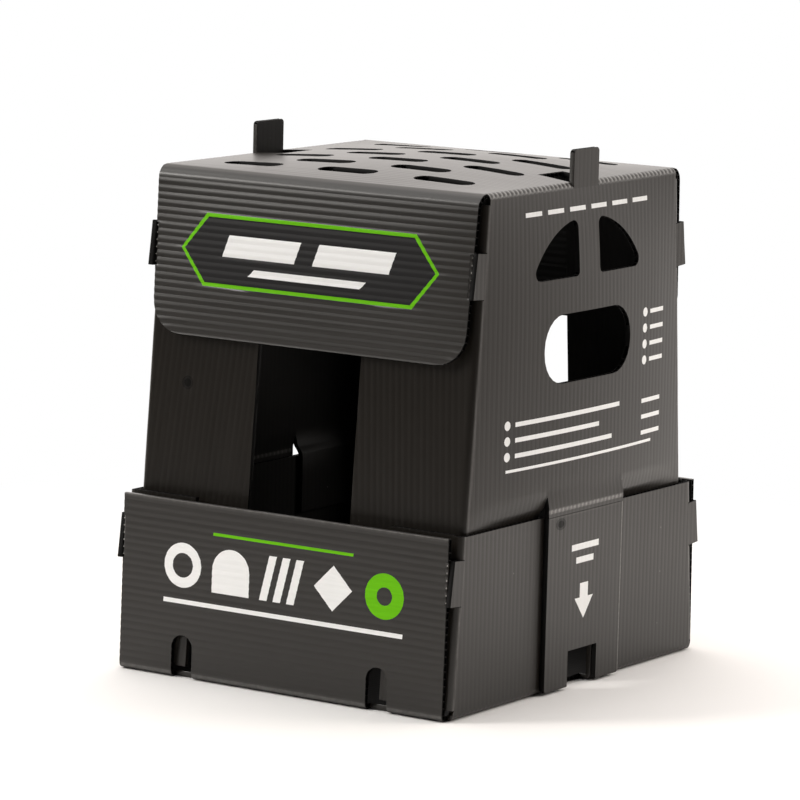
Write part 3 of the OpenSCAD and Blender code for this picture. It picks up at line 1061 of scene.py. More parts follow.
    def side_bulge(self, a: Array, b: Array) -> Array:
        """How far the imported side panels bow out, and how far the bridges to the pull tabs stand off.

        Args:
            a: Flat distances along the blank.
            b: Flat distances across it.

        Returns:
            Distances out of the plane of the side panel.
        """
        z = self.wall_z(a)
        high, corner_w = self.height - self.crease_r, 4
        up = np.clip((high - z) / (high - self.bulge_z), 0, 1)
        wide = np.clip(b / (self.foot - z * self.sin / self.cos - corner_w), 0, 1)
        most = self.bulge + self.low_bulge * smooth(self.bulge_z, self.low_bulge_z, z)
        free = most * (1 - (1 - up) ** 2.2) * (1 - wide ** 2)
        panel = free * np.where(b < self.slit, 1, smooth(*self.tucked, z))
        share = smooth(self.bridge_high, self.bridge_z, z) * (b < self.slit)
        return np.where(a > self.fold_a[1], panel + (self.bridge_out - panel) * share, 0)

    def flap_bow(self, a: Array, b: Array) -> Array:
        """How far the front and back flaps bow out between their fold and their free edge."""
        down = np.clip((b - self.fold_b[1]) / (self.end_path.length - self.fold_b[1]), 0, 1)
        return self.flap_out * (1 - (2 * down - 1) ** 2) * (1 - np.clip(a / self.flap_half, 0, 1) ** 4)

    def top_dome(self, flat: Array, a: Array, b: Array) -> Array:
        """How far the top panel stands up in its middle."""
        wide = np.clip(a / self.fold_a[0], 0, 1)
        deep = np.clip(b / self.fold_b[0], 0, 1)
        rise = (1 - wide ** 2) * (1 - deep ** 2.5) * (1 + self.dome_tilt * flat[:, 0] / self.half_w)
        return self.dome * rise

    def sink(self, flat: Array) -> Array:
        """Depth of the flutes, with the flutes crushed along the side creases."""
        a, b = np.abs(flat).T
        fade = 3
        flap = smooth(self.fold_b[0] - fade, self.fold_b[1], b) * (a < self.fold_a[1])
        turned = self.fold_past(b, self.wall_z(a))
        corner = smooth(self.arc, self.arc + fade, turned) * (a > self.fold_a[1] + fade)
        depth = self.rib + self.flap_rib * flap + self.corner_rib * corner
        crease = near(a - self.crease_mid, 0.9, 2.4) * (1 - flap)
        return crushed(flat, depth, crease, self.tooth)

    def marks(self, flat: Array) -> Array:
        """Stress marks on the creases."""
        a, b = np.abs(flat).T
        z, cell, wall = self.wall_z(a), SHEET.cell(flat[:, 1]), a > self.fold_a[1]
        teeth = near(a - self.crease_mid, 0.8, 2.4) * (1 - cell) * (b < self.fold_b[0])
        corner = near(self.fold_past(b, z) + 0.4, 0.4, 1.6) * wall * self.corner_mark
        bent = near(z - self.bridge_z + 1, 0.4, 1.5) * (b < self.slit) * (1 - 0.55 * cell)
        return np.maximum(np.maximum(teeth, corner), bent * wall)

    def holes(self) -> list[Array]:
        """Vents, hand holes and the other cuts of the blank."""
        cuts = []
        half_l, half_w = self.vent_l / 2, self.vent_w / 2
        for row in range(-3, 4):
            first = self.vent_pitch[0] / (1 if row % 2 else 2)
            for x in np.arange(-first, first + 1, self.vent_pitch[0]):
                y = row * self.vent_pitch[1]
                cuts.append(box_loop(x - half_l, x + half_l, y - half_w, y + half_w, half_w - END_GAP))
        hand_l, hand_h, hand_z = self.hand
        tab, lip = self.tab_w / 2 + 0.2, self.slit + 0.4
        tab_end = self.half_w - 2 * SHEET.thickness - self.tab_rise
        foot = self.along(self.flap_low) + 3
        middle = [
            box_loop(tab_end, self.fold_a[1], -tab, tab),
            box_loop(self.along(hand_z + hand_h), self.along(hand_z), -hand_l / 2, hand_l / 2, self.hand_r),
            box_loop(self.along(self.bridge_end), foot, -lip, lip),
        ]
        slit = box_loop(self.along(self.slit_high), foot, self.slit - 0.25, self.slit + 0.25)
        for side in (1.0, -1.0):
            cuts += [loop * (side, 1.0) for loop in middle]
            for half in (1.0, -1.0):
                cuts += [slit * (side, half), self.half_vent() * (side, half)]
        ear_low, ear_high = self.ear_t(), self.ear_t() + self.lock_h - 2 * self.slack
        high, low = (self.flap_b(up * self.cos + 0.4) for up in (ear_high, ear_low))
        ear = box_loop(self.ear_root, self.half_w, high, low)
        return cuts + [ear * corner for corner in CORNERS] + self.lock_slots()

    def half_vent(self) -> Array:
        """Outline of one half of a side vent: straight at its post and foot, bowed on its long edge."""
        low, z0 = self.half_vent_at
        reach, rise, bow = self.half_vent_size
        r, foot_r = self.half_vent_r
        chord = math.hypot(reach, rise)
        bow_r = (chord ** 2 / 4 + bow ** 2) / (2 * bow)
        hub_b = low + reach / 2 - rise / chord * (bow_r - bow)
        hub_z = z0 + rise / 2 - reach / chord * (bow_r - bow)
        nose_b = hub_b + math.sqrt((bow_r - r) ** 2 - (z0 + r - hub_z) ** 2)
        peak_z = hub_z + math.sqrt((bow_r - r) ** 2 - (low + r - hub_b) ** 2)
        nose_turn = math.atan2(z0 + r - hub_z, nose_b - hub_b)
        peak_turn = math.atan2(peak_z - hub_z, low + r - hub_b)
        arcs = [
            (nose_b, z0 + r, r, np.linspace(-math.pi / 2, nose_turn, 8)),
            (hub_b, hub_z, bow_r, np.linspace(nose_turn, peak_turn, 14)[1:-1]),
            (low + r, peak_z, r, np.linspace(peak_turn, math.pi, 7)),
            (low + foot_r, z0 + foot_r, foot_r, np.linspace(math.pi, math.pi * 1.5, 6)),
        ]
        return np.array([
            (self.along(z + radius * math.sin(t)), b + radius * math.cos(t))
            for b, z, radius, turns in arcs for t in turns
        ])

    def prints(self) -> list[Print]:
        """Plain printed shapes on the flaps and side panels, each read from its own side."""
        made = [
            (ink, np.array([(-end * x, end * self.flap_b(z)) for x, z in loop]))
            for end in (-1.0, 1.0) for ink, loop in flap_art()
        ]
        made += [
            (Finish.WHITE_INK, np.array([(side * self.along(z), side * y) for y, z in loop]))
            for side in (1.0, -1.0) for loop in side_art()
        ]
        return made

    def rub_mark(self) -> list[Print]:
        """Round rub mark on the left front corner flap."""
        up, past = self.rub_place[1] / self.cos, self.flap_e(self.rub_place[0])
        return [
            (finish, np.array([self.corner(up + p, past + q, -1.0, -1.0) for p, q in loop]))
            for finish, loop in rub_loops(self.rub_radii)
        ]

    def build(self) -> SheetMesh:
        """Cuts, prints and folds the top.

        Returns:
            The folded top with its tabs, ears and locks.
        """
        a0, b0 = self.fold_a[0], self.fold_b[0]
        low_b, low_half, half, r = self.end_path.length, self.flap_low_half, self.flap_half, self.flap_corner_r
        flap = rounded([(-low_half, low_b), (-half, b0), (half, b0), (low_half, low_b)], [r, 0, 0, r])
        crease_b = self.foot - self.height * self.sin / self.cos - SHEET.thickness
        side = self.side_loop(a0 - 1, crease_b, self.height - self.crease_r, False)
        keep = [box_loop(-a0, a0, -b0, b0), side, side * (-1, 1), flap * (1, 1), flap * (1, -1)]
        cross = self.cross_lines(2.4, 12, self.flap_low, [(125.0, 104.5), (103.5, 100.0)])
        cut = FlatCut(keep, self.holes(), self.prints() + self.rub_mark(), self.crease_guides(), cross)
        made = fold_sheet(cut, self.fold, self.sink, self.marks)
        for more in (self.lock_tabs(), self.ears(self.ear_rib), self.stacking_tabs()):
            made.join(more)
        return made

    def stacking_tabs(self) -> SheetMesh:
        """Tabs that stand up in the plane of the side panels."""
        made = SheetMesh()
        low, high, half = self.height - self.crease_r, self.height + self.tab_rise, self.tab_w / 2
        loop = rounded([(low, -half), (high, -half), (high, half), (low, half)], [0, self.tab_r, self.tab_r, 0])
        cut = FlatCut([loop], cross=np.linspace(low, high, 4))

        def fold(flat: Array, height: Array) -> Array:
            """Stands the right tab up."""
            return np.stack([self.half_w + height, flat[:, 1], flat[:, 0]], 1)

        for side in (1.0, -1.0):
            to_side = mirrored(fold, side, 1.0)
            # The tabs' cut edges get a painted highlight through pale
            made.join(fold_sheet(cut, to_side, ribs(self.tab_rib), side=Finish.SHEET, pale=self.tab_edge_highlight))
        return made


@dataclass
class Tray(FoldedBlank):
    """The open tray: bottom, front and back panels, side walls and corner flaps.

    Attributes:
        end_h: Height of the front and back panels.
        arch: Place, width and height of the arched slots.
        arch_in: How far the arched slots reach into the bottom.
        notch_half: Half width of the stacking notches.
        notch_h: Height of the stacking notches.
        notch_in: How far the stacking notches reach into the bottom.
        rib: Depth of the flutes.
        end_rib: Depth of the flutes on the front and back panels and the ears.
        tooth: Depth of the flutes where they are crushed along the side creases.
        corner_mark: Strength of the stress marks on the corner folds.
        front_stress_and_highlight: Strength of the light line on the creases of the front and back panels, in
            part a stress mark and in part a painted highlight.
        rim_highlight: Strength of the painted highlight on the upper edges of these panels.
    """

    half_w: float = 110.75
    foot: float = 127.0
    lean: float = 4.5
    crease_r: float = 3.4
    lock_z: float = 62.0
    lock_h: float = 24.5
    lock_out: float = 7.0
    end_foot: float = 130.2
    end_lean: float = 1.4
    ear_x: float = 107.5
    ear_l: float = 11.5
    flap_x: float = 64.75
    flap_low: float = 6.0
    flap_high: float = 99.6
    fold_high: float = 99.0
    ear_r: float = 1.5
    end_h: float = 98.6
    arch: tuple[float, float, float] = (65.0, 14.0, 24.0)
    arch_in: float = 5.0
    notch_half: float = 15.0
    notch_h: float = 22.25
    notch_in: float = 7.0
    rib: float = 0.075
    end_rib: float = 0.18
    tooth: float = 0.1
    corner_mark: float = 0.3
    front_stress_and_highlight: float = 0.35
    rim_highlight: float = 0.5

    def __post_init__(self) -> None:
        """Sets the paths of the sheet."""
        super().__post_init__()
        end_b = self.end_foot - self.end_h * math.tan(math.radians(self.end_lean))
        side = [(0, 0), (self.half_w, 0), (self.half_w, self.fold_high)]
        end = [(0, 0), (self.end_foot, 0), (end_b, self.end_h)]
        self.set_paths(BentPath(side, [self.crease_r], -1.0), BentPath(end, [self.crease_r], -1.0))

    def along(self, z: float) -> float:
        """Place along the blank of a height on the side wall."""
        return self.side_path.past(1, z)

    def first_web(self) -> float:
        """Distance up the end panels at which one of their webs lies."""
        return -self.end_path.past(1, 0.0)

    def end_at(self, z: float) -> float:
        """Flat place of a height on the front and back panels."""
        return self.end_path.past(1, z / math.cos(math.radians(self.end_lean)))

    def fold(self, flat: Array, height: Array) -> Array:
        """Folds the tray's blank.

        Args:
            flat: Flat points.
            height: Heights over the outer face.

        Returns:
            Places in the box.
        """
        # The small distances keep points on a seam with the panel that they belong to
        a, b = np.abs(flat).T
        panel = (b > self.fold_b[0] - 0.5) & (a < self.half_w - 2)
        out = self.fold_quarter(a, b, height, panel, self.fold_a[1])
        out[:, :2] *= np.where(flat < 0, -1.0, 1.0)
        return out

    def sink(self, flat: Array) -> Array:
        """Depth of the flutes, with the flutes crushed along the side creases."""
        a, b = np.abs(flat).T
        crease = near(a - self.crease_mid, 1.6, 3.6) * (b < self.fold_b[0])
        depth = np.where(b > self.fold_b[1], self.end_rib, self.rib)
        return crushed(flat, depth, crease, self.tooth)

    def marks(self, flat: Array) -> Array:
        """Stress marks on the corner folds, light lines on the panels' creases that are in part stress marks
        and in part painted highlights, and painted highlights on their upper edges.
        """
        a, b = np.abs(flat).T
        panel = a < self.fold_a[0]
        past = self.fold_past(b, a - self.along(0))
        corner = near(past - 0.6, 0.2, 1.0) * (a > self.fold_a[1]) * self.corner_mark
        # Light line just above each panel's lower crease: in part a stress mark, in part a painted highlight of
        # the fold
        front = near(b - self.fold_b[1] + 1.0, 0.3, 1.4) * panel * self.front_stress_and_highlight
        # Pale line along each panel's upper edge: painted highlight of the lit rim
        rim = smooth(self.end_path.length - 1.0, self.end_path.length, b) * panel * self.rim_highlight
        return np.maximum(np.maximum(corner, front), rim)

    def holes(self) -> list[Array]:
        """Arched slots, stacking notches and lock slots."""
        arch_x, arch_w, arch_h = self.arch
        half, foot, top = arch_w / 2, self.end_foot - self.arch_in, self.end_at(arch_h)
        left, right = arch_x - half, arch_x + half
        round_r = half - END_GAP
        arch = rounded([(left, foot), (right, foot), (right, top), (left, top)], [0, 0, round_r, round_r], 10)
        low, high = (self.end_path.past(1, self.ear_t() + up) for up in (0, self.lock_h - 2 * self.slack))
        ear = box_loop(self.ear_root, self.half_w, low, high)
        start, end = self.half_w - self.notch_in, self.along(self.notch_h)
        notch = box_loop(start, end, -self.notch_half, self.notch_half)
        cuts = [loop * corner for corner in CORNERS for loop in (arch, ear)]
        return cuts + [notch * (side, 1) for side in (1.0, -1.0)] + self.lock_slots()

    def prints(self) -> list[Print]:
        """Plain printed shapes on the front and back panels."""
        return [
            (ink, np.array([(-end * x, end * self.end_at(z)) for x, z in loop]))
            for end in (-1.0, 1.0) for ink, loop in tray_art()
        ]

    def build(self) -> SheetMesh:
        """Cuts, prints and folds the tray.

        Returns:
            The folded tray with its ears and locks.
        """
        a0, b0 = self.fold_a[0], self.fold_b[0]
        side = self.side_loop(a0 - 1, self.foot - SHEET.thickness, self.crease_r, True)
        panel = box_loop(-self.ear_x, self.ear_x, b0, self.end_path.length)
        keep = [box_loop(-a0, a0, -b0, b0), side, side * (-1, 1), panel * (1, 1), panel * (1, -1)]
        cross = self.cross_lines(1.5, 10, self.fold_high)
        cut = FlatCut(keep, self.holes(), self.prints(), self.crease_guides(), cross)
        made = fold_sheet(cut, self.fold, self.sink, self.marks, Finish.SHEET)
        for more in (self.lock_tabs(), self.ears(self.end_rib)):
            made.join(more)
        return made


@dataclass
class PullTab:
    """Tab that hangs outside a side wall of the tray and is pulled to lift the top.

    Attributes:
        side: 1 at the right and -1 at the left.
        out: Distance of its outer face from the middle.
        half: Half its width.
        low: Height of its lower edge.
        high: Height of its crease.
        corner_r: Radius of its lower corners.
        notch_half: Half width of the notch at its foot.
        notch_h: Height of that notch.
        rib: Depth of the flutes.
        crease_mark: Strength of the stress mark at its crease.
        edge_highlight: Strength of the painted highlight on its right edge, seen from outside.
        rub_place: Height and place of the rub mark, on the right tab only.
        rub_radii: Radius of its rim and of the mark.
        rub_stretch: How much wider than high it is.
    """

    side: float
    out: float = 114.15
    half: float = 38.5
    low: float = 1.5
    high: float = 98.45
    corner_r: float = 2.0
    notch_half: float = 15.0
    notch_h: float = 20.0
    rib: float = 0.075
    crease_mark: float = 0.12
    edge_highlight: float = 0.8
    rub_place: tuple[float, float] = (94.0, -26.0)
    rub_radii: tuple[float, float] = (3.3, 2.0)
    rub_stretch: float = 1.6

    def fold(self, flat: Array, height: Array) -> Array:
        """Hangs the tab outside the wall."""
        return np.stack([self.side * (self.out + height), flat[:, 1], flat[:, 0]], 1)

    def prints(self) -> list[Print]:
        """A plain arrow with two bars over it, and the rub mark."""
        arrow = [(58, -4.2), (58, 4.2), (50, 4.2), (50, 9.5), (38, 0), (50, -9.5), (50, -4.2)]
        bars = [box_loop(77, 80.5, -14, 14), box_loop(69.5, 73, -9, 9)]
        made = [(Finish.WHITE_INK, np.array(loop, float)) for loop in [arrow] + bars]
        if self.side > 0:
            stretch = (1.0, self.rub_stretch)
            made += [(finish, loop * stretch + self.rub_place) for finish, loop in rub_loops(self.rub_radii)]
        return made

    def marks(self, flat: Array) -> Array:
        """A stress mark at the crease under the side panel, and a painted highlight along one edge."""
        crease = smooth(self.high - 0.8, self.high, flat[:, 0]) * self.crease_mark
        # Pale line along one edge: painted highlight
        edge = smooth(self.half - 1.0, self.half, flat[:, 1] * self.side) * self.edge_highlight
        return np.maximum(crease, edge)

    def build(self) -> SheetMesh:
        """Cuts and prints the tab.

        Returns:
            The tab.
        """
        low, h, w, n = self.low, self.high, self.half, self.notch_half
        notch = low + self.notch_h
        corners = [(low, -w), (h, -w), (h, w), (low, w), (low, n), (notch, n), (notch, -n), (low, -n)]
        loop = rounded(corners, [self.corner_r, 0, 0, self.corner_r, 0, 0, 0, 0])
        cross = np.concatenate([np.arange(8, h - 3, SHEET.cross_step), [h - 2.4, h - 1.2]])
        cut = FlatCut([loop], prints=self.prints(), cross=cross)
        return fold_sheet(cut, self.fold, ribs(self.rib), self.marks)


def set_inputs(node: Node, inputs: dict[str | int, Any]) -> None:
    """Links or sets inputs of a node.

    Args:
        node: The node.
        inputs: Sockets to link, or values to set, by the name or number of the input.
    """
    for key, value in inputs.items():
        if isinstance(value, NodeSocket):
            node.id_data.links.new(value, node.inputs[key])
        else:
            node.inputs[key].default_value = value


def add_node(tree: NodeTree, kind: str, inputs: Optional[dict[str | int, Any]] = None,
             **options: Any) -> Node:
    """Adds a node to a tree.

    Args:
        tree: The tree.
        kind: Type of the node.
        inputs: Sockets to link, or values to set.
        options: Options of the node.

    Returns:
        The node.
    """
    node = tree.nodes.new(kind)
    for key, value in options.items():
        setattr(node, key, value)
    set_inputs(node, inputs or {})
    return node


def calculate(tree: NodeTree, operation: str, *values: Any) -> NodeSocket:
    """Adds a math node on sockets or plain values and gives its result."""
    return add_node(tree, "ShaderNodeMath", dict(enumerate(values)), operation=operation).outputs[0]


def mix_colors(tree: NodeTree, factor: Any, a: Any, b: Any, blend: str = "MIX") -> NodeSocket:
    """Adds a node that mixes two colours and gives its result."""
    inputs = {"Factor": factor, "A": a, "B": b}
    return add_node(tree, "ShaderNodeMix", inputs, data_type="RGBA", blend_type=blend).outputs["Result"]


def map_range(tree: NodeTree, value: NodeSocket, low: float, high: float,
              to_low: float = 0.0, **options: Any) -> NodeSocket:
    """Adds a node that takes a range to the range up to 1 and gives its result."""
    inputs = {"Value": value, "From Min": low, "From Max": high, "To Min": to_low}
    return add_node(tree, "ShaderNodeMapRange", inputs, **options).outputs["Result"]


def color_ramp(tree: NodeTree, value: NodeSocket,
               stops: Sequence[tuple[float, tuple[float, float, float]]]) -> NodeSocket:
    """Adds a colour ramp.

    Args:
        tree: Tree that gets the ramp.
        value: Socket that runs along it.
        stops: Places and colours: those of the two ends, then any between them.

    Returns:
        The colour.
    """
    node = add_node(tree, "ShaderNodeValToRGB", {"Fac": value})
    elements = node.color_ramp.elements
    for number, (position, color) in enumerate(stops):
        element = elements[number] if number < 2 else elements.new(position)
        element.position, element.color = position, (*color, 1)
    return node.outputs["Color"]


def node_material(name: str) -> tuple[Material, NodeTree, Node]:
    """Starts a material and gives it with its tree and its shader."""
    material = bpy.data.materials.new(name)
    material.use_nodes = True
    return material, material.node_tree, material.node_tree.nodes["Principled BSDF"]


def node_group(name: str, kind: str, inputs: dict[str, str],
               outputs: dict[str, str]) -> tuple[NodeTree, Node, Node]:
    """Starts a node group.

    Args:
        name: Name of the group.
        kind: Type of its tree.
        inputs: Socket types of its inputs by name.
        outputs: Socket types of its outputs by name.

    Returns:
        The group, its input node and its output node.
    """
    tree = bpy.data.node_groups.new(name, kind)
    for way, sockets in (("INPUT", inputs), ("OUTPUT", outputs)):
        for label, socket in sockets.items():
            tree.interface.new_socket(name=label, in_out=way, socket_type="NodeSocket" + socket)
    return tree, tree.nodes.new("NodeGroupInput"), tree.nodes.new("NodeGroupOutput")


@dataclass(frozen=True)
class SheetPlastic:
    """Satin plastic of the sheet, with streaks along the flutes, dust, and pale marks: stress marks in part,
    painted highlights in part.

    Attributes:
        name: Name of the material.
        color: Its colour.
        roughness: Its mean roughness.
        marked: Colour of the pale marks, both the stress marks and the painted highlights.
        dusted: Colour of the dust.
        streak: Strength of the streaks.
        dust: Strength of the dust.
        grain: Strength of the grain along the flutes.
        sheen: Strength of the reflections.
        haze: How far the streaks change the roughness.
    """

    name: str
    color: tuple[float, float, float]
    roughness: float
    marked: tuple[float, float, float] = (0.30, 0.29, 0.28)
    dusted: tuple[float, float, float] = (0.22, 0.21, 0.2)
    streak: float = 0.25
    dust: float = 0.5
    grain: float = 0.5
    sheen: float = 0.5
    haze: float = 0.12

    def make(self, streaks: NodeTree, specks: NodeTree) -> Material:
        """Builds the material.

        Args:
            streaks: Group that draws streaks along the flutes.
            specks: Group that draws dust.

        Returns:
            The material.
        """
        material, tree, shader = node_material(self.name)
        tangent = add_node(tree, "ShaderNodeTangent", direction_type="UV_MAP", uv_map=FLAT_UV)
        uv = add_node(tree, "ShaderNodeUVMap", uv_map=FLAT_UV)
        place = add_node(tree, "ShaderNodeTexCoord")
        mark = add_node(tree, "ShaderNodeAttribute", attribute_name=STRESS_AND_LIGHT_MARK)
        streak = add_node(tree, "ShaderNodeGroup", node_tree=streaks)
        speck = add_node(tree, "ShaderNodeGroup", node_tree=specks)
        set_inputs(streak, {"Flat": uv.outputs["UV"]})
        set_inputs(speck, {"Place": place.outputs["Object"]})
        haze = streak.outputs["Haze"]
        tone = mix_colors(tree, self.streak, (*self.color, 1), streak.outputs["Tone"], "MULTIPLY")
        dust = calculate(tree, "MULTIPLY", speck.outputs["Dust"], self.dust)
        dusty = mix_colors(tree, dust, tone, (*self.dusted, 1))
        # Pale marks: stress marks in part, painted highlights in part, broken up by noise
        wear_and_highlight = calculate(tree, "MULTIPLY", mark.outputs["Fac"], speck.outputs["Mark Breakup"])
        gloss = calculate(tree, "MULTIPLY_ADD", haze, self.haze, self.roughness - self.haze / 2)
        bump = add_node(tree, "ShaderNodeBump", {"Strength": 0.15, "Distance": 0.0003, "Height": haze})
        set_inputs(shader, {
            "Base Color": mix_colors(tree, wear_and_highlight, dusty, (*self.marked, 1)),
            "Roughness": gloss,
            "Specular IOR Level": self.sheen,
            "Anisotropic": self.grain,
            "Anisotropic Rotation": 0.25,
            "Tangent": tangent.outputs["Tangent"],
            "Normal": bump.outputs["Normal"],
        })
        return material


def flute_streaks() -> NodeTree:
    """Group that draws extrusion streaks along the flutes of a sheet."""
    outputs = {"Tone": "Color", "Haze": "Float"}
    tree, start, end = node_group("flute_streaks", "ShaderNodeTree", {"Flat": "Vector"}, outputs)
    fine = add_node(tree, "ShaderNodeMapping", {"Vector": start.outputs["Flat"], "Scale": (9.0, 900.0, 1.0)})
    inputs = {"Vector": fine.outputs["Vector"], "Scale": 1.0, "Detail": 3.0}
    noise = add_node(tree, "ShaderNodeTexNoise", inputs)
    tone = color_ramp(tree, noise.outputs["Fac"], [(0.3, (0.55, 0.55, 0.55)), (0.72, (1, 1, 1))])
    set_inputs(end, {"Tone": tone, "Haze": noise.outputs["Fac"]})
    return tree


def dust_specks() -> NodeTree:
    """Group that draws sparse dust and a broken edge for the pale marks, stress marks and painted highlights
    alike.
    """
    outputs = {"Dust": "Float", "Mark Breakup": "Float"}
    tree, start, end = node_group("dust_specks", "ShaderNodeTree", {"Place": "Vector"}, outputs)
    place = start.outputs["Place"]
    cells = add_node(tree, "ShaderNodeTexVoronoi", {"Vector": place, "Scale": 90.0})
    speck = map_range(tree, cells.outputs["Distance"], 0.055, 0.02)
    few = calculate(tree, "GREATER_THAN", cells.outputs["Color"], 0.8)
    wear_and_highlight = add_node(tree, "ShaderNodeTexNoise", {"Vector": place, "Scale": 420.0, "Detail": 2.0})
    broken = map_range(tree, wear_and_highlight.outputs["Fac"], 0.3, 0.7, 0.55)
    set_inputs(end, {"Dust": calculate(tree, "MULTIPLY", speck, few), "Mark Breakup": broken})
    return tree


def sheet_materials() -> list[Material]:
    """One material for each finish, in the order of the slots."""
    groups = flute_streaks(), dust_specks()
    finishes = {
        Finish.SHEET: SheetPlastic("sheet_plastic", (0.0125, 0.0101, 0.0076), 0.36),
        # Darker and duller than the sheet: painted shade of the open flutes at the cut edges
        Finish.CUT_EDGE: SheetPlastic("cut_edge_painted_shade", (0.0045, 0.0042, 0.004), 0.6, sheen=0.15),
        Finish.WHITE_INK: SheetPlastic("white_ink", (0.93, 0.93, 0.92), 0.5, streak=0.08, dust=0.0),
        Finish.GREEN_INK: SheetPlastic("green_ink", (0.15, 0.56, 0.001), 0.5, streak=0.2, dust=0.0, sheen=0.12),
        Finish.BLACK_INK: SheetPlastic(
            "black_ink", (0.008, 0.0075, 0.008), 0.5, streak=0.2, dust=0.3, sheen=0.2),
        # Darker and duller than the sheet: painted shade on the inner faces
        Finish.INNER: SheetPlastic("inner_face_painted_shade", (0.0065, 0.006, 0.0056), 0.55, sheen=0.2),
        Finish.RUBBED_RIM: SheetPlastic("rubbed_rim", (0.009, 0.008, 0.007), 0.42, dust=0.0, sheen=0.32),
        Finish.RUBBED: SheetPlastic("rubbed_mark", (0.006, 0.0055, 0.005), 0.48, dust=0.0, sheen=0.16),
    }
    return [finishes[slot].make(*groups) for slot in Finish]


@dataclass(frozen=True)
class CrushedPlastic:
    """Pale crushed plastic with a fine mottle.

    Attributes:
        name: Name of the material.
        color: Its lighter colour.
        shade: Brightness of its darker colour, as a share of the lighter one.
        roughness: Its roughness.
        mottle: Scale of the mottle.
    """

    name: str = "crushed_plastic"
    color: tuple[float, float, float] = (0.6, 0.58, 0.55)
    shade: float = 0.4
    roughness: float = 0.5
    mottle: float = 900.0

    def make(self) -> Material:
        """Builds the material."""
        material, tree, shader = node_material(self.name)
        place = add_node(tree, "ShaderNodeTexCoord")
        mottle = add_node(tree, "ShaderNodeTexNoise", {"Vector": place.outputs["Object"], "Scale": self.mottle})
        dark = (*(v * self.shade for v in self.color), 1)
        tone = mix_colors(tree, mottle.outputs["Fac"], dark, (*self.color, 1))
        set_inputs(shader, {"Base Color": tone, "Roughness": self.roughness})
        return material


@dataclass(frozen=True)
class StressBeads:
    """Pale beads of crushed plastic at the flute ends along the creases of the ears.

    Attributes:
        count: Beads on a crease.
        radius: Radius of a bead.
        squash: Mean scale of a bead along the axes.
        spread: Smallest and largest scale, as shares of the mean one.
        seed: Seed of the first crease.
    """

    count: int = 6
    radius: float = 0.42
    squash: tuple[float, float, float] = (0.8, 0.8, 1.1)
    spread: tuple[float, float] = (0.6, 1.3)
    seed: int = 7

    def tree(self, material: Material) -> NodeTree:
        """Builds the node group that sets beads along a line.

        Args:
            material: Material of the beads.

        Returns:
            The group.
        """
        inputs = {"Start": "Vector", "End": "Vector", "Count": "Int", "Radius": "Float", "Seed": "Int"}
        tree, start, end = node_group("beads_along_crease", "GeometryNodeTree", inputs, {"Beads": "Geometry"})
        given = start.outputs
        line = add_node(tree, "GeometryNodeCurvePrimitiveLine", {"Start": given["Start"], "End": given["End"]})
        points = add_node(tree, "GeometryNodeCurveToPoints",
                          {"Curve": line.outputs["Curve"], "Count": given["Count"]})
        bead = add_node(tree, "GeometryNodeMeshIcoSphere", {"Subdivisions": 2, "Radius": given["Radius"]})
        low, high = (tuple(v * share for v in self.squash) for share in self.spread)
        size = add_node(tree, "FunctionNodeRandomValue", {0: low, 1: high, "Seed": given["Seed"]},
                        data_type="FLOAT_VECTOR")
        copies = add_node(tree, "GeometryNodeInstanceOnPoints", {
            "Points": points.outputs["Points"], "Instance": bead.outputs["Mesh"], "Scale": size.outputs[0],
        })
        solid = add_node(tree, "GeometryNodeRealizeInstances", {"Geometry": copies.outputs["Instances"]})
        finish = add_node(tree, "GeometryNodeSetMaterial",
                          {"Geometry": solid.outputs["Geometry"], "Material": material})
        set_inputs(end, {"Beads": finish.outputs["Geometry"]})
        return tree

    def build(self, name: str, crests: Sequence[Array], material: Material) -> Object:
        """Sets beads along every crease of a sheet.

        Args:
            name: Name of the piece.
            crests: Ends of each crease, in millimetres.
            material: Material of the beads.

        Returns:
            One object with all the beads.
        """
        tree = self.tree(material)
        keys = {item.name: item.identifier for item in tree.interface.items_tree if item.in_out == "INPUT"}
        points: list[Vector] = []
        faces: list[tuple[int, ...]] = []
        for number, (low, high) in enumerate(crests):
            carrier = add_object(name, bpy.data.meshes.new(name))
            modifier = carrier.modifiers.new("beads", "NODES")
            modifier.node_group = tree
            values = {"Start": (low * MM).tolist(), "End": (high * MM).tolist(), "Count": self.count,
                      "Radius": self.radius * MM, "Seed": self.seed + number}
            for label, value in values.items():
                modifier[keys[label]] = value
            made = bpy.data.meshes.new_from_object(carrier.evaluated_get(bpy.context.evaluated_depsgraph_get()))
            faces += [tuple(i + len(points) for i in face.vertices) for face in made.polygons]
            points += [vert.co.copy() for vert in made.vertices]
            bpy.data.objects.remove(carrier)
        mesh = bpy.data.meshes.new(name)
        mesh.from_pydata(points, [], faces)
        mesh.polygons.foreach_set("use_smooth", np.ones(len(faces), bool))
        mesh.materials.append(material)
        return add_object(name, mesh)


@dataclass(frozen=True)
class SoftBox:
    """A soft lamp.

    Attributes:
        name: Name of the lamp.
        place: Its place in metres.
        size: Its width and height in metres.
        power: Its power in watts.
        color: Its colour.
        target: What it looks at, the box unless given.
    """

    name: str
    place: tuple[float, float, float]
    size: tuple[float, float]
    power: float
    color: tuple[float, float, float] = (1.0, 1.0, 1.0)
    target: tuple[float, float, float] = (0.0, 0.0, 0.14)

    def build(self) -> Object:
        """Adds the lamp to the scene."""
        data = bpy.data.lights.new(self.name, "AREA")
        data.shape = "RECTANGLE"
        data.size, data.size_y = self.size
        data.energy = self.power
        data.color = self.color
        lamp = add_object(self.name, data)
        lamp.location = self.place
        lamp.rotation_mode = "QUATERNION"
        lamp.rotation_quaternion = (Vector(self.place) - Vector(self.target)).to_track_quat("Z", "Y")
        return lamp


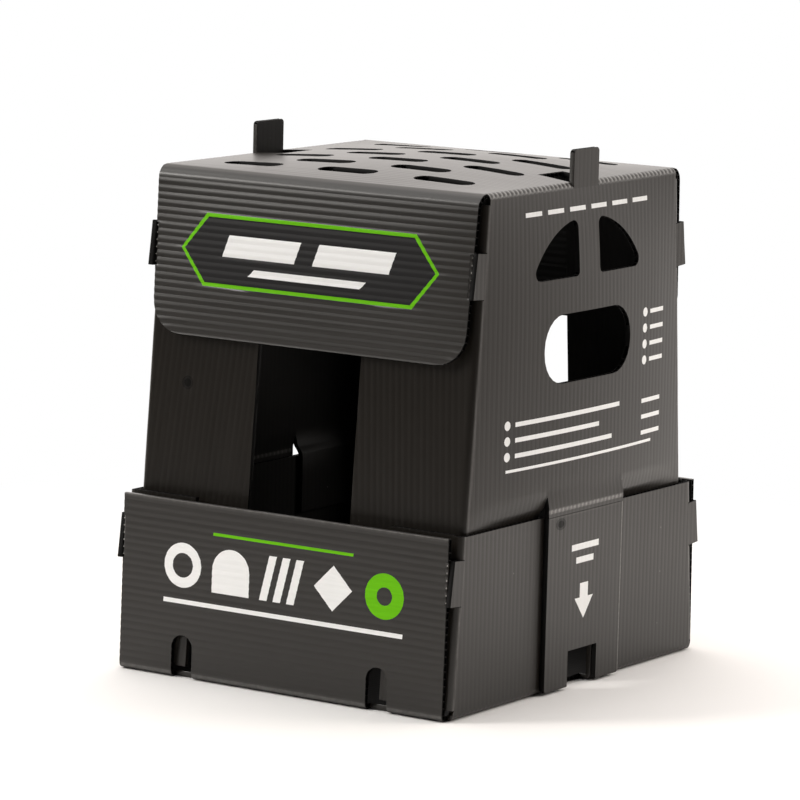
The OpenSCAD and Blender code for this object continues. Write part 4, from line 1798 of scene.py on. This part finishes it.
LAMPS = (
    SoftBox("overhead", (-0.3, -0.3, 2.0), (2.0, 2.0), 23.0),
    SoftBox("key", (-1.6, -1.6, 1.4), (0.6, 0.8), 34.0, (1.0, 0.97, 0.93)),
    SoftBox("right_fill", (1.4, 1.0, 1.0), (0.8, 0.8), 12.0, (1.0, 0.95, 0.9)),
    SoftBox("floor_fill", (0.36, 0.5, 0.25), (0.3, 0.3), 0.6, (1.0, 0.93, 0.88), (0.36, 0.5, 0.0)),
)


@dataclass(frozen=True)
class Studio:
    """Camera, lights and floor.

    Attributes:
        azimuth: Direction of the camera, in degrees from the front to the right.
        elevation: Its angle over the floor.
        roll: Its turn about its own axis.
        distance: Its distance, in millimetres.
        aim: Point that it looks at before it is panned.
        pan: How far it is panned to the right and up.
        focal_px: Its focal length in pixels of the frame.
        frame_px: Size of the frame in pixels.
        sensor: Width of its sensor in millimetres.
        floor_r: Radius of the floor in metres.
        floor_sides: Corners of the floor.
        floor_gap: How far the floor lies under the box.
        floor_fade: Distances between which the floor fades to white.
        bright: Direction of the brightest part of the surroundings.
        strength: Brightness of the surroundings.
    """

    azimuth: float = 33.757
    elevation: float = 8.736
    roll: float = 1.464
    distance: float = 2625.9
    aim: tuple[float, float, float] = (0.0, 0.0, 140.0)
    pan: tuple[float, float] = (-9.051, 7.371)
    focal_px: float = 4669.5
    frame_px: float = 800.0
    sensor: float = 36.0
    floor_r: float = 0.7
    floor_sides: int = 96
    floor_gap: float = 0.0003
    floor_fade: tuple[float, float] = (0.26, 0.6)
    bright: tuple[float, float, float] = (-0.35, 0.9, 0.25)
    strength: float = 2.05

    def camera(self) -> Object:
        """Sets the camera where the photograph was taken from."""
        a, e, r = (math.radians(v) for v in (self.azimuth, self.elevation, self.roll))
        back = Vector((math.sin(a) * math.cos(e), -math.cos(a) * math.cos(e), math.sin(e)))
        level = Vector((math.cos(a), math.sin(a), 0))
        over = back.cross(level)
        right = level * math.cos(r) + over * math.sin(r)
        up = over * math.cos(r) - level * math.sin(r)
        eye = Vector(self.aim) + right * self.pan[0] + up * self.pan[1] + back * self.distance
        data = bpy.data.cameras.new("camera")
        data.sensor_width = self.sensor
        data.lens = self.focal_px / self.frame_px * self.sensor
        data.clip_end = 50
        camera = add_object("camera", data)
        turn = Matrix((right, up, back)).transposed().to_4x4()
        camera.matrix_world = Matrix.Translation(eye * MM) @ turn
        bpy.context.scene.camera = camera
        return camera

    def floor(self) -> Object:
        """Lays a pale floor that fades into the white surroundings."""
        mesh = bpy.data.meshes.new("floor")
        ring = disc_loop(0, 0, self.floor_r, self.floor_sides)
        mesh.from_pydata([(x, y, -self.floor_gap) for x, y in ring], [], [tuple(range(self.floor_sides))])
        material, tree, shader = node_material("pale_floor")
        set_inputs(shader, {"Base Color": (0.95, 0.935, 0.92, 1), "Roughness": 0.9, "Specular IOR Level": 0.1})
        place = add_node(tree, "ShaderNodeTexCoord")
        far = add_node(tree, "ShaderNodeVectorMath", {0: place.outputs["Object"]}, operation="LENGTH")
        fade = map_range(tree, far.outputs["Value"], *self.floor_fade, interpolation_type="SMOOTHSTEP")
        path = add_node(tree, "ShaderNodeLightPath")
        seen = calculate(tree, "MULTIPLY", fade, path.outputs["Is Camera Ray"])
        white = add_node(tree, "ShaderNodeEmission")
        mix = add_node(tree, "ShaderNodeMixShader",
                       {"Fac": seen, 1: shader.outputs["BSDF"], 2: white.outputs["Emission"]})
        set_inputs(tree.nodes["Material Output"], {"Surface": mix.outputs["Shader"]})
        mesh.materials.append(material)
        floor = add_object("floor", mesh)
        return floor

    def surroundings(self) -> World:
        """Sets white surroundings that are bright behind the box and dim in front of it."""
        world = bpy.data.worlds.new("studio")
        world.use_nodes = True
        bpy.context.scene.world = world
        tree = world.node_tree
        place = add_node(tree, "ShaderNodeTexCoord")
        facing = add_node(tree, "ShaderNodeVectorMath", {0: place.outputs["Generated"], 1: self.bright},
                          operation="DOT_PRODUCT")
        shift = map_range(tree, facing.outputs["Value"], -1.0, 1.0)
        stops = [(0.38, (0.015, 0.015, 0.015)), (0.97, (1.0, 0.95, 0.915)), (0.75, (0.42, 0.39, 0.365))]
        ground = tree.nodes["Background"]
        set_inputs(ground, {"Color": color_ramp(tree, shift, stops), "Strength": self.strength})
        white = add_node(tree, "ShaderNodeBackground", {"Color": (1, 1, 1, 1)})
        path = add_node(tree, "ShaderNodeLightPath")
        mix = add_node(tree, "ShaderNodeMixShader", {
            "Fac": path.outputs["Is Camera Ray"],
            1: ground.outputs["Background"],
            2: white.outputs["Background"],
        })
        set_inputs(tree.nodes["World Output"], {"Surface": mix.outputs["Shader"]})
        return world

    def build(self) -> None:
        """Makes the whole studio."""
        self.camera()
        self.floor()
        self.surroundings()
        for lamp in LAMPS:
            lamp.build()
        bpy.context.scene.view_settings.view_transform = "Standard"


def place_piece(mesh: SheetMesh, name: str, body: str, node: str,
                materials: Sequence[Material]) -> Object:
    """Makes a piece and puts it on its body in place of a CAD node.

    Args:
        mesh: The folded sheet.
        name: Name of the piece.
        body: Body that it rides on.
        node: CAD node that it stands for.
        materials: Materials in slot order.

    Returns:
        The piece.
    """
    piece = mesh.to_object(name, materials)
    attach(piece, body)
    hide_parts(node)
    log.info("%s: %d points, %d faces", name, len(mesh.points), len(mesh.faces))
    return piece


def main() -> None:
    """Builds the box and its studio."""
    logging.basicConfig(level=logging.INFO, format="%(name)s: %(message)s")
    materials = sheet_materials()
    pale = CrushedPlastic().make()
    for sheet, name, body in ((Tray(), "tray_sheet", "tray"), (BoxTop(), "top_sheet", "box_top")):
        place_piece(sheet.build(), name, body, body, materials)
        beads = StressBeads().build(name + "_beads", sheet.crests, pale)
        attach(beads, body)
    for side, name in ((1.0, "right_pull_tab"), (-1.0, "left_pull_tab")):
        place_piece(PullTab(side).build(), name + "_sheet", name, name, materials)
    Studio().build()


if __name__ == "__main__":
    main()
